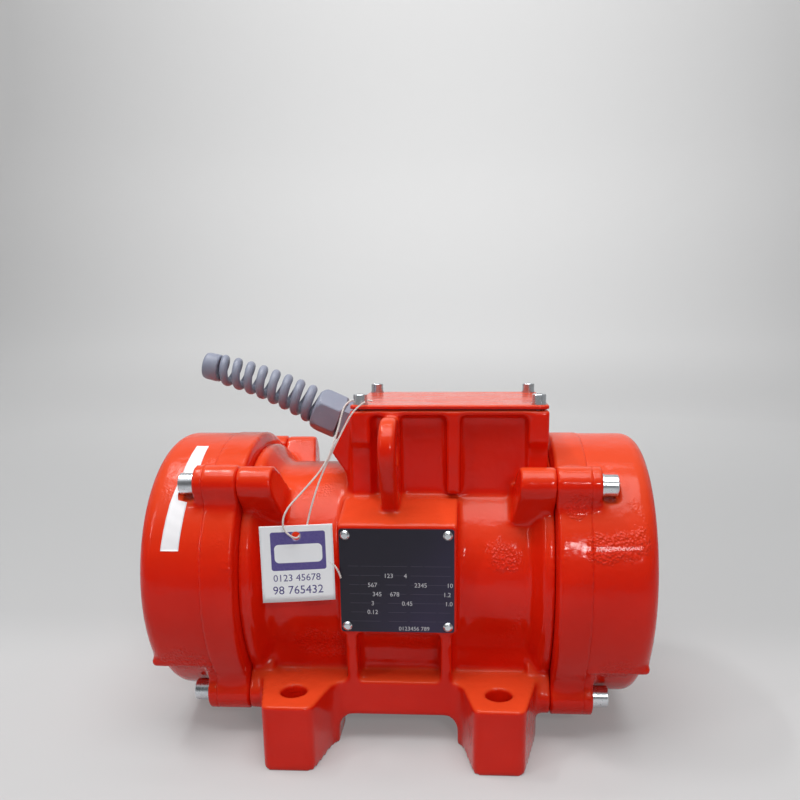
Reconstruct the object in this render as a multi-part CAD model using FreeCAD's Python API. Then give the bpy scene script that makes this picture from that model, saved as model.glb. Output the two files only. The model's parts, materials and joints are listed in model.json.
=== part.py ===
import FreeCAD
import Part
import math
import os

# External vibration motor: a squirrel-cage motor in a cast housing on four feet, whose shaft carries
# eccentric weights under a cover at each end.
# Frame: X along the shaft, Y across it (the nameplate faces -Y), Z up.
# The origin is on the mounting plane, at the centre of the foot bolt pattern. All sizes are in millimetres.

Vector = FreeCAD.Vector

# ---- fits and clearances ------------------------------------------------------------------------
SEAT_GAP = 0.02             # between pieces that sit tight in or on one another
SCREW_GAP = 0.5             # radial, round a screw in a clearance hole
THREAD_GAP = 0.05           # radial, round a screw in its tapped hole
RUNNING_GAP = 0.04          # radial, between a turning bore and its shaft
BALL_GAP = 0.06             # between a bearing ball and its groove
MOVING_GAP = 1.5            # axial, between pieces that turn past each other

# ---- feet and base ------------------------------------------------------------------------------
FOOT_PITCH_X = 120.0        # bolt to bolt, along the shaft
FOOT_PITCH_Y = 170.0        # bolt to bolt, across the shaft
FOOT_HOLE_R = 7.75
FOOT_HEIGHT = 40.0
FOOT_NOSE = 20.5            # from a bolt to the foot's outer face
FOOT_NOSE_WIDTH = 28.0
FOOT_ROOT_WIDTH = 48.0
FOOT_ROOT_INSET = 22.0      # from a bolt inwards to where the foot has its full width
FOOT_CORNER_R = 5.0
BASE_HALF_Y = 72.0
BASE_END_GAP = 7.5          # from a machined end face in to the base
BASE_POCKET_HALF_X = 66.0   # the two cored pockets under the barrel, open below
BASE_POCKET_HALF_Y = 49.0
BASE_POCKET_RIB = 8.0       # between the two pockets
ARCH_HEIGHT = 18.0          # of the gap under the base
ARCH_HALF_X = 36.0
ARCH_HALF_Y = 50.0
ARCH_CORNER_R = 9.0
FOOT_SPLIT_DROP = 3.5       # from the top of the gap down to where the foot pads are split off
SHAFT_HEIGHT = 93.0

# ---- barrel -------------------------------------------------------------------------------------
BODY_HALF = 91.5            # half the length between the two machined end faces
BARREL_R = 67.5
BORE_R = 60.0
END_RIM_DROP = 7.5          # of the end rims below the covers' outside
END_RIM_WIDTH = 6.0
END_FLARE = 8.0             # length of the cone between barrel and end rim
SKIRT_HALF_Y = 57.0         # upright walls below the barrel
SKIRT_FOOT_Y = 56.0
SKIRT_DROP = 23.0           # from the shaft down to the top of those walls
REGISTER_R = 66.0           # centring seat of the bearing flanges
REGISTER_DEPTH = 6.0

# ---- cover screws and their bosses --------------------------------------------------------------
BOLT_CIRCLE_OUT = 3.1       # of the screws' circle outside the covers
BOLT_ANGLE = 47.0           # above and below the horizontal
M8_R = 4.0
BOSS_R = 10.5
BOSS_ROOT_HALF = 12.5
HIGH_BOSS_LENGTH = 20.0
HIGH_BOSS_SLOPE = 5.0       # how much longer the boss is at its root
LOW_BOSS_LENGTH = 11.5
LOW_BOSS_SLOPE = 4.0
THREAD_DEPTH = 16.0

# ---- nameplate pad ------------------------------------------------------------------------------
PAD_CENTRE_X = 1.0
PAD_HALF_X = 34.5
PAD_OUT = 7.5               # out of the barrel
PAD_BELOW = 21.0            # below the shaft
PAD_ABOVE = 45.0
PAD_BACK_Y = 47.0           # where the sloping top of the pad meets the box wall
PAD_BACK_RISE = 9.0
PAD_RIB_OFFSET = 28.0
PAD_RIB_WIDTH = 6.5

# ---- terminal box -------------------------------------------------------------------------------
BOX_END_GAP = 2.9           # from the right-hand end face in to the box
BOX_HALF_X = 58.5
BOX_WALL_HALF_Y = 39.5      # outside of the long walls, set back below the rim
BOX_RIM_OUT = 8.0
BOX_WALL = 5.5
BOX_FLOOR_RISE = 3.5        # of the floor above the barrel
BOX_DEPTH = 39.0            # from the floor to the top of the lid
BOX_SPLIT_DROP = 2.0        # from the floor down to where the box is split off
LID_THICKNESS = 2.5
GASKET_THICKNESS = 0.6
GASKET_INSET = 2.0          # of the gasket, in from the rim
RIM_HEIGHT = 3.0
BOX_CORNER_R = 4.0
POST_WIDTH = 12.0
POST_LENGTH = 19.0
PILLAR_OUT = 4.0            # of the posts below their screw blocks, out of the wall
LID_SCREW_INSET = 6.0
M5_R = 2.5
BOX_RIB_OFFSET = 2.6        # from the middle of the box
BOX_RIB_WIDTH = 8.0
GLAND_FACE_OUT = 13.0       # how far the slanting gland face stands out of the box end
GLAND_FACE_DROP = 25.8
WIRE_HOLE_R = 8.0
WIRE_HOLE_GAP = 13.0        # from the windings to the middle of the hole

# ---- lifting lug --------------------------------------------------------------------------------
LUG_INSET = 24.65           # from the gland end of the box
LUG_THICKNESS = 10.0
LUG_EYE_OUT = 20.5          # from the box wall to the eye
LUG_EYE_RISE = 14.0         # of the eye above the box floor
LUG_R = 19.5
LUG_HOLE_R = 7.25
LUG_ROOT_Y = 62.0
LUG_EDGE_R = 2.5

# ---- bearing flanges ----------------------------------------------------------------------------
FLANGE_WIDTH = 20.5
FLANGE_PROUD = 0.5          # of the flanges outside the covers
FLANGE_CONE = 1.2
FLANGE_RECESS_DROP = 8.5    # of the flanges' recess below the covers' outside
FLANGE_RECESS = 13.0
FLANGE_WEB = 10.0
LOBE_R = 11.0
LOBE_FILLET = 9.0
HUB_R = 48.0
HUB_LIP = 4.0
HUB_LIP_R = 31.0
SPIGOT_WALL = 6.0

# ---- ball bearings, 30 x 72 x 19 ----------------------------------------------------------------
BEARING_BORE_R = 15.0
BEARING_R = 36.0
BEARING_WIDTH = 19.0
BALL_R = 6.15
BALL_COUNT = 8
BALL_PITCH_R = 25.5
GROOVE_R = 6.35
INNER_LAND_R = 21.0
OUTER_LAND_R = 30.0
CAGE_HALF_WIDTH = 7.0
CAGE_THICKNESS = 4.0
BALL_POCKET_GAP = 0.15
CAP_THICKNESS = 7.0
CAP_BORE_R = 20.5
CAP_SCREW_R = 41.5
CAP_SCREW_COUNT = 3
CAP_SCREW_DEPTH = 12.0      # of a thread in the hub, and of the screw's shank

# ---- covers -------------------------------------------------------------------------------------
COVER_LENGTH = 37.5
COVER_R = 86.5
COVER_WALL = 4.5
COVER_EDGE_R = 10.5
COVER_FLANGE = 5.0
COVER_LIP = 5.0
COVER_LIP_WALL = 4.5
LEDGE_DROP = 44.5           # from the shaft down to the ledges, below which a cover is drawn in
COVER_LOW_IN = 7.5          # of the drawn-in part, from the cover's outside
COVER_LOW_EDGE_R = 16.0
POCKET_R = 10.0
POCKET_LENGTH = 10.0
BEAD_R = 3.0                # of the rolls along the two ledges
BEAD_END_GAP = 1.0          # from a roll's round end to the cover's face
BEAD_SINK = 2.0             # of its middle below the cover's outside
SEAL_R = 1.2

# ---- shaft, rotor and stator --------------------------------------------------------------------
ROTOR_R = 32.5
AIR_GAP = 0.5
STACK_HALF = 40.0
STATOR_SLOTS = 24
SLOT_WIDTH = 5.5
SLOT_START_R = 37.0
SLOT_END_R = 53.0
SLOT_GAP = 0.3
WINDING_REACH = 21.0
WINDING_INNER_R = 38.0
WINDING_OUTER_R = 56.5
END_RING_WIDTH = 8.0
END_RING_INNER_R = 22.0
END_RING_OUTER_R = 30.5
ROTOR_SEAT_R = 18.0
SHAFT_WEIGHT_R = 14.0
SHAFT_TAIL = 5.0            # shaft past the outer weight
CIRCLIP_WIDTH = 1.5
CIRCLIP_DEPTH = 1.0
CIRCLIP_HEIGHT = 3.0

# ---- eccentric weights --------------------------------------------------------------------------
WEIGHT_ROOM = 14.0          # from the inside of a cover to the weights
WEIGHT_HALF_ANGLE = 78.0
FIXED_WEIGHT_WIDTH = 11.0
LOOSE_WEIGHT_WIDTH = 12.0
WEIGHT_HUB_R = 26.0
SPACER_R = 19.0
KEY_WIDTH = 8.0
KEY_HEIGHT = 7.0
KEY_DEPTH = 4.0
EAR_HALF_Y = 16.0
EAR_TOP = 42.0
EAR_SLOT = 3.0
CLAMP_SCREW_Z = 33.0
M6_R = 3.0

# ---- screws and washers -------------------------------------------------------------------------
HEAD_R_PER_SHANK = 1.63     # socket-head screws
HEX_PER_SHANK = 1.5
SOCKET_DEPTH_SHARE = 0.55
WASHER_8 = 1.6
WASHER_5 = 1.0
WASHER_R_PER_SHANK = 1.75
WASHER_SLIT = 0.8

# ---- nameplate and its screws -------------------------------------------------------------------
PLATE_SIDE_EDGE = 1.5       # of the pad, left showing round the plate
PLATE_LOW_EDGE = 1.7
PLATE_HIGH_EDGE = 2.0
PLATE_THICKNESS = 1.0
PLATE_CORNER_R = 1.5
PLATE_SCREW_INSET = 3.6
PLATE_SCREW_R = 1.4
PLATE_SCREW_HEAD_R = 2.8
PLATE_SCREW_HEAD = 1.6
PLATE_SCREW_LENGTH = 6.0

# ---- terminal block -----------------------------------------------------------------------------
BLOCK_HALF_X = 30.0
BLOCK_HALF_Y = 17.0
BLOCK_HEIGHT = 11.0
BLOCK_WALL = 3.0
STUD_PITCH_X = 18.0
STUD_PITCH_Y = 18.0
STUD_HEIGHT = 13.0
NUT_HEIGHT = 4.0
NUT_ACROSS = 8.0
EARTH_SCREW_GAP = 10.1      # from the terminal block
EARTH_SCREW_COVER = 6.0     # metal left between its tip and the stator bore

# ---- cable gland --------------------------------------------------------------------------------
GLAND_DEG = 24.0            # its axis above the horizontal
GLAND_THREAD_R = 10.0
GLAND_THREAD = 9.0
GLAND_HEX = 24.0
GLAND_COLLAR = 5.5
GLAND_NECK_R = 9.0
GLAND_NECK = 12.0
GLAND_NUT = 17.5
GLAND_NUT_GAP = 1.5
GLAND_SHELL = 2.2
CABLE_R = 4.3
SPIRAL_LENGTH = 57.0
SPIRAL_PITCH = 8.6
SPIRAL_START_R = 9.3        # radius of the wire's centre line
SPIRAL_END_R = 7.3
SPIRAL_WIRE = 4.8
SLEEVE_LENGTH = 11.0
SLEEVE_R = 9.6

# ---- hang tag and its string --------------------------------------------------------------------
TAG_WIDTH = 41.0
TAG_HEIGHT = 44.0
TAG_THICKNESS = 0.6
TAG_CENTRE_X = -54.5
TAG_CENTRE_Z = 117.0
TAG_Y = -81.0
TAG_TILT = 2.4
TAG_HOLE_R = 2.4
TAG_HOLE_DROP = 6.0
STRING_R = 0.6

# ---- values worked out from the sizes above -----------------------------------------------------
FOOT_X = FOOT_PITCH_X / 2
FOOT_Y = FOOT_PITCH_Y / 2
FLANGE_FACE = BODY_HALF + FLANGE_WIDTH
COVER_END = FLANGE_FACE + COVER_LENGTH
COVER_SEAT = FLANGE_FACE + COVER_FLANGE
END_RIM_R = COVER_R - END_RIM_DROP
FLANGE_R = COVER_R + FLANGE_PROUD
FLANGE_RECESS_R = COVER_R - FLANGE_RECESS_DROP
COVER_LOW_R = COVER_R - COVER_LOW_IN
WEIGHT_R = COVER_R - COVER_WALL - WEIGHT_ROOM
BOLT_CIRCLE_R = COVER_R + BOLT_CIRCLE_OUT
BOLT_Y = BOLT_CIRCLE_R * math.cos(math.radians(BOLT_ANGLE))
BOLT_Z = BOLT_CIRCLE_R * math.sin(math.radians(BOLT_ANGLE))
RECESS_FLOOR = FLANGE_FACE - FLANGE_RECESS
HUB_FACE = RECESS_FLOOR + HUB_LIP
BEARING_IN = HUB_FACE - BEARING_WIDTH
HUB_INNER = BEARING_IN - HUB_LIP
CAP_FACE = HUB_FACE + CAP_THICKNESS
FIXED_IN = CAP_FACE + MOVING_GAP
FIXED_OUT = FIXED_IN + FIXED_WEIGHT_WIDTH
LOOSE_IN = FIXED_OUT + MOVING_GAP
LOOSE_OUT = LOOSE_IN + LOOSE_WEIGHT_WIDTH
SHAFT_END = LOOSE_OUT + SHAFT_TAIL
STATOR_R = BORE_R - SEAT_GAP
BASE_END = BODY_HALF - BASE_END_GAP
SKIRT_TOP = SHAFT_HEIGHT - SKIRT_DROP
PAD_FRONT = BARREL_R + PAD_OUT
PAD_BOTTOM = SHAFT_HEIGHT - PAD_BELOW
PAD_TOP = SHAFT_HEIGHT + PAD_ABOVE
BOX_RIGHT = BODY_HALF - BOX_END_GAP
BOX_CENTRE_X = BOX_RIGHT - BOX_HALF_X
BOX_LEFT = BOX_CENTRE_X - BOX_HALF_X
BOX_HALF_Y = BOX_WALL_HALF_Y + BOX_RIM_OUT
BOX_FLOOR = SHAFT_HEIGHT + BARREL_R + BOX_FLOOR_RISE
BOX_BOTTOM = SHAFT_HEIGHT + BORE_R / 2
BOX_RIB_X = BOX_CENTRE_X + BOX_RIB_OFFSET
LID_TOP = BOX_FLOOR + BOX_DEPTH
LID_BOTTOM = LID_TOP - LID_THICKNESS
BOX_TOP = LID_BOTTOM - GASKET_THICKNESS
RIM_BOTTOM = BOX_TOP - RIM_HEIGHT
GLAND_FACE_LOW = RIM_BOTTOM - GLAND_FACE_DROP + RIM_HEIGHT
GLAND_AXIS = Vector(-math.cos(math.radians(GLAND_DEG)), 0, math.sin(math.radians(GLAND_DEG)))
GLAND_SEAT = Vector(BOX_LEFT - GLAND_FACE_OUT / 2, 0, (BOX_TOP + GLAND_FACE_LOW) / 2)
GLAND_NUT_START = GLAND_COLLAR + GLAND_NUT_GAP
GLAND_NUT_END = GLAND_NUT_START + GLAND_NUT
WIRE_HOLE_X = STACK_HALF + WINDING_REACH + WIRE_HOLE_GAP
EARTH_SCREW_X = BOX_CENTRE_X - BLOCK_HALF_X - EARTH_SCREW_GAP
LUG_X = BOX_LEFT + LUG_INSET
LUG_EYE_Y = -BOX_WALL_HALF_Y - LUG_EYE_OUT
LUG_EYE_Z = BOX_FLOOR + LUG_EYE_RISE
PLATE_Y = -PAD_FRONT - SEAT_GAP
PLATE_HALF_X = PAD_HALF_X - PLATE_SIDE_EDGE
PLATE_BOTTOM = PAD_BOTTOM + PLATE_LOW_EDGE
PLATE_TOP = PAD_TOP - PLATE_HIGH_EDGE

# The string's loop, by hand: up in front of the tag, round the lid screw, down behind the tag.
STRING_ROUTE = [
    (-15.6, -40.0, 204.8),
    (-18.6, -34.4, 204.9),
    (-26.0, -34.8, 204.9),
    (-29.4, -41.5, 204.8),
    (-31.4, -50.6, 201.5),
    (-34.0, -56.0, 189.0),
    (-39.6, -66.0, 171.0),
    (-51.5, -76.0, 157.5),
    (-60.5, -83.0, 148.0),
    (-62.0, -85.4, 138.5),
    (-56.3, -84.2, 132.4),
    (-54.0, -78.4, 131.4),
    (-49.8, -77.6, 136.5),
    (-47.6, -76.6, 146.5),
    (-43.6, -70.6, 161.0),
    (-38.6, -62.2, 174.0),
    (-31.0, -54.6, 190.0),
    (-24.6, -51.6, 201.6),
    (-18.8, -47.6, 205.0),
]

# The loose end of the string, from the knot behind the tag out past its edge.
TAIL_ROUTE = [
    (-51.8, -77.8, 130.6),
    (-48.4, -78.2, 125.2),
    (-42.8, -78.5, 121.8),
    (-37.6, -78.6, 117.6),
    (-32.8, -78.5, 113.6),
    (-31.0, -78.4, 107.4),
]


# ---- drawing helpers ----------------------------------------------------------------------------
def outline(corners, place):
    """Face inside a closed outline. A corner is (a, b) or (a, b, r), and r rounds it."""
    points = [Vector(c[0], c[1], 0) for c in corners]
    starts = []
    ends = []
    middles = []
    for i, corner in enumerate(corners):
        here = points[i]
        radius = corner[2] if len(corner) > 2 else 0
        if not radius:
            starts.append(here)
            ends.append(here)
            middles.append(None)
            continue
        back = (points[i - 1] - here).normalize()
        ahead = (points[(i + 1) % len(points)] - here).normalize()
        half = back.getAngle(ahead) / 2
        reach = radius / math.tan(half)
        inwards = (back + ahead).normalize()
        starts.append(here + back * reach)
        ends.append(here + ahead * reach)
        middles.append(here + inwards * (radius / math.sin(half) - radius))
    edges = []
    for i, middle in enumerate(middles):
        if middle is not None:
            spots = [place(p.x, p.y) for p in (starts[i], middle, ends[i])]
            edges.append(Part.Arc(*spots).toShape())
        following = starts[(i + 1) % len(corners)]
        if ends[i].distanceToPoint(following) > 1e-6:
            line = Part.LineSegment(place(ends[i].x, ends[i].y), place(following.x, following.y))
            edges.append(line.toShape())
    return Part.Face(Part.Wire(edges))


def plan(corners, low, high):
    """Prism over an outline of (x, y) corners, from z = low to z = high."""
    return outline(corners, lambda a, b: Vector(a, b, low)).extrude(Vector(0, 0, high - low))


def end_view(corners, left, right):
    """Prism over an outline of (y, z) corners, from x = left to x = right."""
    return outline(corners, lambda a, b: Vector(left, a, b)).extrude(Vector(right - left, 0, 0))


def front_view(corners, near, far):
    """Prism over an outline of (x, z) corners, from y = near to y = far."""
    return outline(corners, lambda a, b: Vector(a, near, b)).extrude(Vector(0, far - near, 0))


def turned(corners):
    """Body of revolution about the shaft, from an outline of (x, radius) corners."""
    face = outline(corners, lambda a, b: Vector(a, 0, SHAFT_HEIGHT + b))
    return face.revolve(Vector(0, 0, SHAFT_HEIGHT), Vector(1, 0, 0), 360)


def rectangle(a0, a1, b0, b1, radius=0):
    """Corners of a rectangle, rounded by radius."""
    return [(a0, b0, radius), (a1, b0, radius), (a1, b1, radius), (a0, b1, radius)]


def hexagon(across):
    """Corners of a hexagon, across its flats."""
    reach = across / math.sqrt(3)
    angles = [math.radians(60 * k) for k in range(6)]
    return [(reach * math.cos(a), reach * math.sin(a)) for a in angles]


def rod(radius, start, end, y=0, z=SHAFT_HEIGHT):
    """Cylinder parallel to the shaft, from x = start to x = end."""
    return Part.makeCylinder(radius, end - start, Vector(start, y, z), Vector(1, 0, 0))


def upright(radius, x, y, low, high):
    """Cylinder parallel to Z."""
    return Part.makeCylinder(radius, high - low, Vector(x, y, low))


def fuse(first, *others):
    """One solid from several that overlap."""
    return first.fuse(list(others)).removeSplitter()


def pointed(shape, place, direction):
    """A shape drawn along +Z from the origin, turned to a direction and moved to a place."""
    turn = FreeCAD.Rotation(Vector(0, 0, 1), direction)
    copy = shape.copy()
    copy.Placement = FreeCAD.Placement(place, turn)
    return copy


def round_shaft(shape, degrees):
    """Copy of a shape turned about the shaft."""
    copy = shape.copy()
    copy.rotate(Vector(0, 0, SHAFT_HEIGHT), Vector(1, 0, 0), degrees)
    return copy


def other_end(shape):
    """Mirror image at the other end of the shaft."""
    return shape.mirror(Vector(0, 0, 0), Vector(1, 0, 0))


def save(name, *solids):
    """Writes one node: a single solid, or a group of separate ones."""
    shape = solids[0] if len(solids) == 1 else Part.makeCompound(list(solids))
    if len(shape.Solids) != len(solids) or not shape.isValid():
        print("LOOK AT", name, len(shape.Solids), "solids for", len(solids), shape.isValid())
    shape.exportStep("parts/" + name + ".step")
    box = shape.BoundBox
    print(f"{name}: {len(shape.Solids)} solids, {shape.Volume:.0f} mm3, x {box.XMin:.1f} to {box.XMax:.1f}")


# ---- fasteners ----------------------------------------------------------------------------------
def socket_screw(shank_r, length):
    """Socket-head screw along -Z. Its seat is at the origin and its head above it."""
    head_r = shank_r * HEAD_R_PER_SHANK
    head_height = 2 * shank_r
    edge = shank_r / 8
    face = outline(
        [(0, -length), (shank_r - edge, -length), (shank_r, edge - length), (shank_r, 0), (head_r, 0),
         (head_r, head_height - edge), (head_r - edge, head_height), (0, head_height)],
        lambda a, b: Vector(a, 0, b),
    )
    screw = face.revolve(Vector(0, 0, 0), Vector(0, 0, 1), 360)
    depth = head_height * SOCKET_DEPTH_SHARE
    return screw.cut(plan(hexagon(shank_r * HEX_PER_SHANK), head_height - depth, head_height + 1))


def spring_washer(shank_r, thickness):
    """Split ring that lies on the XY plane."""
    bore = shank_r + SCREW_GAP
    ring = Part.makeCylinder(shank_r * WASHER_R_PER_SHANK, thickness)
    ring = ring.cut(Part.makeCylinder(bore, thickness))
    slit = Part.makeBox(2 * shank_r, WASHER_SLIT, thickness, Vector(bore - 1, 0, 0))
    return ring.cut(slit)


def bolt_spots():
    """(y, z) of the four cover screws."""
    return [(sy * BOLT_Y, SHAFT_HEIGHT + sz * BOLT_Z) for sy in (-1, 1) for sz in (-1, 1)]


def lid_screw_spots():
    """(x, y) of the four lid screws."""
    x_reach = BOX_HALF_X - LID_SCREW_INSET
    y_reach = BOX_HALF_Y - LID_SCREW_INSET
    return [(BOX_CENTRE_X + sx * x_reach, sy * y_reach) for sx in (-1, 1) for sy in (-1, 1)]


def plate_screw_spots():
    """(x, z) of the four nameplate screws."""
    reach = PLATE_HALF_X - PLATE_SCREW_INSET
    heights = (PLATE_BOTTOM + PLATE_SCREW_INSET, PLATE_TOP - PLATE_SCREW_INSET)
    return [(PAD_CENTRE_X + side * reach, z) for side in (-1, 1) for z in heights]


# ---- housing ------------------------------------------------------------------------------------
def housing_base():
    """Bridge and four flared feet, with the arched gaps under them."""
    nose = FOOT_Y + FOOT_NOSE
    root = FOOT_Y - FOOT_ROOT_INSET
    flare = (FOOT_ROOT_WIDTH - FOOT_NOSE_WIDTH) / 2 / (nose - root)
    crotch = FOOT_X - FOOT_NOSE_WIDTH / 2 - flare * (nose - BASE_HALF_Y)
    quarter = [
        (crotch, BASE_HALF_Y, ARCH_CORNER_R),
        (FOOT_X - FOOT_NOSE_WIDTH / 2, nose, FOOT_CORNER_R),
        (FOOT_X + FOOT_NOSE_WIDTH / 2, nose, FOOT_CORNER_R),
        (BASE_END, root, FOOT_CORNER_R),
    ]
    half = quarter + [(x, -y, r) for x, y, r in reversed(quarter)]
    corners = half + [(-x, -y, r) for x, y, r in half]
    base = plan(corners, 0, FOOT_HEIGHT)
    below = -ARCH_CORNER_R
    arch_x = [(-ARCH_HALF_X, below), (ARCH_HALF_X, below), (ARCH_HALF_X, ARCH_HEIGHT, ARCH_CORNER_R),
              (-ARCH_HALF_X, ARCH_HEIGHT, ARCH_CORNER_R)]
    arch_y = [(-ARCH_HALF_Y, below), (ARCH_HALF_Y, below), (ARCH_HALF_Y, ARCH_HEIGHT, ARCH_CORNER_R),
              (-ARCH_HALF_Y, ARCH_HEIGHT, ARCH_CORNER_R)]
    base = base.cut(front_view(arch_x, -2 * nose, 2 * nose))
    return base.cut(end_view(arch_y, -2 * BODY_HALF, 2 * BODY_HALF))


def housing_barrel():
    """Outside of the barrel, flared to the two end rims, and the skirt below it."""
    rim = BODY_HALF - END_RIM_WIDTH
    flare = rim - END_FLARE
    barrel = turned([
        (-BODY_HALF, 0), (-BODY_HALF, END_RIM_R), (-rim, END_RIM_R, 3), (-flare, BARREL_R, 5),
        (flare, BARREL_R, 5), (rim, END_RIM_R, 3), (BODY_HALF, END_RIM_R), (BODY_HALF, 0),
    ])
    low = FOOT_HEIGHT - 1
    skirt = end_view([(-SKIRT_FOOT_Y, low), (SKIRT_FOOT_Y, low),
                      (SKIRT_HALF_Y, SKIRT_TOP), (-SKIRT_HALF_Y, SKIRT_TOP)],
                     -flare, flare)
    return barrel, skirt


def base_pockets():
    """The two cored pockets between the barrel and the base, open below."""
    rib = BASE_POCKET_RIB / 2
    pocket = Part.makeBox(BASE_POCKET_HALF_X - rib, 2 * BASE_POCKET_HALF_Y, SHAFT_HEIGHT,
                          Vector(rib, -BASE_POCKET_HALF_Y, 0))
    pocket = pocket.cut(rod(BARREL_R, 0, BODY_HALF))
    return pocket, other_end(pocket)


def screw_boss(length, slope):
    """Boss for one cover screw, drawn straight above the shaft at the right-hand end, longer at its root."""
    top = SHAFT_HEIGHT + BOLT_CIRCLE_R
    root = SHAFT_HEIGHT + BORE_R + SEAT_GAP
    distance = math.hypot(BOSS_ROOT_HALF, top - root)
    lean = math.acos(BOSS_R / distance) + math.atan2(root - top, BOSS_ROOT_HALF)
    touch_y = BOSS_R * math.cos(lean)
    touch_z = top + BOSS_R * math.sin(lean)
    edges = [
        Part.LineSegment(Vector(0, -BOSS_ROOT_HALF, root), Vector(0, BOSS_ROOT_HALF, root)),
        Part.LineSegment(Vector(0, BOSS_ROOT_HALF, root), Vector(0, touch_y, touch_z)),
        Part.Arc(Vector(0, touch_y, touch_z), Vector(0, 0, top + BOSS_R), Vector(0, -touch_y, touch_z)),
        Part.LineSegment(Vector(0, -touch_y, touch_z), Vector(0, -BOSS_ROOT_HALF, root)),
    ]
    face = Part.Face(Part.Wire([e.toShape() for e in edges]))
    start = BODY_HALF - length - slope
    face.translate(Vector(start, 0, 0))
    boss = face.extrude(Vector(BODY_HALF - start, 0, 0))
    wedge = front_view([(start, root - 1), (start, top + 2 * BOSS_R),
                        (start + 1.25 * slope, top + 2 * BOSS_R)],
                       -2 * BOSS_ROOT_HALF, 2 * BOSS_ROOT_HALF)
    return boss.cut(wedge)


def nameplate_pad():
    """Raised pad with a sloping top, on two ribs that run down to the base."""
    left = PAD_CENTRE_X - PAD_HALF_X
    right = PAD_CENTRE_X + PAD_HALF_X
    inside = -BARREL_R / 2
    back = PAD_TOP + PAD_BACK_RISE
    pad = end_view([(-PAD_FRONT, PAD_BOTTOM, 1.5), (-PAD_FRONT, PAD_TOP, 2.5),
                    (-PAD_BACK_Y, back), (inside, back),
                    (inside, PAD_BOTTOM)], left, right)
    rib_low = FOOT_HEIGHT - 2
    rib_outline = [(-PAD_FRONT, PAD_BOTTOM + 1), (inside, PAD_BOTTOM + 1),
                   (inside, rib_low), (-BASE_HALF_Y, rib_low)]
    ribs = []
    for side in (-1, 1):
        centre = PAD_CENTRE_X + side * PAD_RIB_OFFSET
        ribs.append(end_view(rib_outline, centre - PAD_RIB_WIDTH / 2, centre + PAD_RIB_WIDTH / 2))
    return [pad] + ribs


def gland_face_profile(wall):
    """(x, z) corners of the box end that carries the gland, moved inwards by a wall."""
    return [
        (BOX_LEFT + wall, BOX_TOP),
        (BOX_LEFT - GLAND_FACE_OUT + wall, GLAND_FACE_LOW),
        (BOX_LEFT - GLAND_FACE_OUT / 3 + wall, GLAND_FACE_LOW - GLAND_FACE_OUT),
    ]


def terminal_box():
    """Outside of the terminal box: walls, rim, corner posts for the lid screws, a rib on each long side."""
    walls = front_view(
        gland_face_profile(0) + [(BOX_LEFT, BOX_BOTTOM), (BOX_RIGHT, BOX_BOTTOM), (BOX_RIGHT, BOX_TOP)],
        -BOX_WALL_HALF_Y, BOX_WALL_HALF_Y)
    rim = plan(rectangle(BOX_LEFT, BOX_RIGHT, -BOX_HALF_Y, BOX_HALF_Y, BOX_CORNER_R), RIM_BOTTOM, BOX_TOP)
    pieces = [walls, rim]
    post_low = BOX_TOP - POST_LENGTH
    for side in (-1, 1):
        outer = side * BOX_HALF_Y
        inner = side * (BOX_WALL_HALF_Y - BOX_WALL / 2)
        foot = [(inner, post_low - 2 * POST_WIDTH / 3), (inner, BOX_TOP), (outer, BOX_TOP), (outer, post_low)]
        face = side * (BOX_WALL_HALF_Y + PILLAR_OUT)
        pillar = [(inner, BOX_BOTTOM), (inner, BOX_TOP), (face, BOX_TOP), (face, BOX_BOTTOM)]
        for left in (BOX_LEFT, BOX_RIGHT - POST_WIDTH):
            pieces.append(end_view(foot, left, left + POST_WIDTH))
            pieces.append(end_view(pillar, left, left + POST_WIDTH))
        rib_low = BOX_TOP - POST_LENGTH * 2 - POST_WIDTH
        rib = [(inner, rib_low), (inner, BOX_TOP), (outer, BOX_TOP), (side * PAD_BACK_Y, rib_low)]
        pieces.append(end_view(rib, BOX_RIB_X - BOX_RIB_WIDTH / 2, BOX_RIB_X + BOX_RIB_WIDTH / 2))
    return pieces


def lifting_lug():
    """Upright plate with an eye, on the front of the terminal box."""
    left = LUG_X - LUG_THICKNESS / 2
    right = LUG_X + LUG_THICKNESS / 2
    eye = rod(LUG_R, left, right, LUG_EYE_Y, LUG_EYE_Z)
    inside = -BOX_WALL_HALF_Y + BOX_WALL / 2
    low = PAD_TOP + PAD_BACK_RISE / 2
    stem = end_view([(LUG_EYE_Y - LUG_R * 0.8, LUG_EYE_Z - LUG_R * 0.6), (-LUG_ROOT_Y, low), (inside, low),
                     (inside, LUG_EYE_Z + LUG_R * 0.9), (LUG_EYE_Y + LUG_R * 0.436, LUG_EYE_Z + LUG_R * 0.9)],
                    left, right)
    plate = fuse(eye, stem)
    rim = [e for e in plate.Edges if abs(e.BoundBox.XLength) < 1e-6 and e.BoundBox.YMin < inside - 1]
    rim = [e for e in rim if e.BoundBox.ZMin > low + 1 or e.BoundBox.YMin < -LUG_ROOT_Y - 0.5]
    return plate.makeFillet(LUG_EDGE_R, rim)


def box_cavity():
    """Space inside the terminal box."""
    low = gland_face_profile(BOX_WALL)
    corners = [low[0], low[1], (low[2][0], BOX_FLOOR + 1), (low[2][0], BOX_FLOOR),
               (BOX_RIGHT - BOX_WALL, BOX_FLOOR, 3),
               (BOX_RIGHT - BOX_WALL, BOX_TOP + 1), (BOX_LEFT + BOX_WALL, BOX_TOP + 1)]
    inner = BOX_WALL_HALF_Y - BOX_WALL
    return front_view(corners, -inner, inner)


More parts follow.
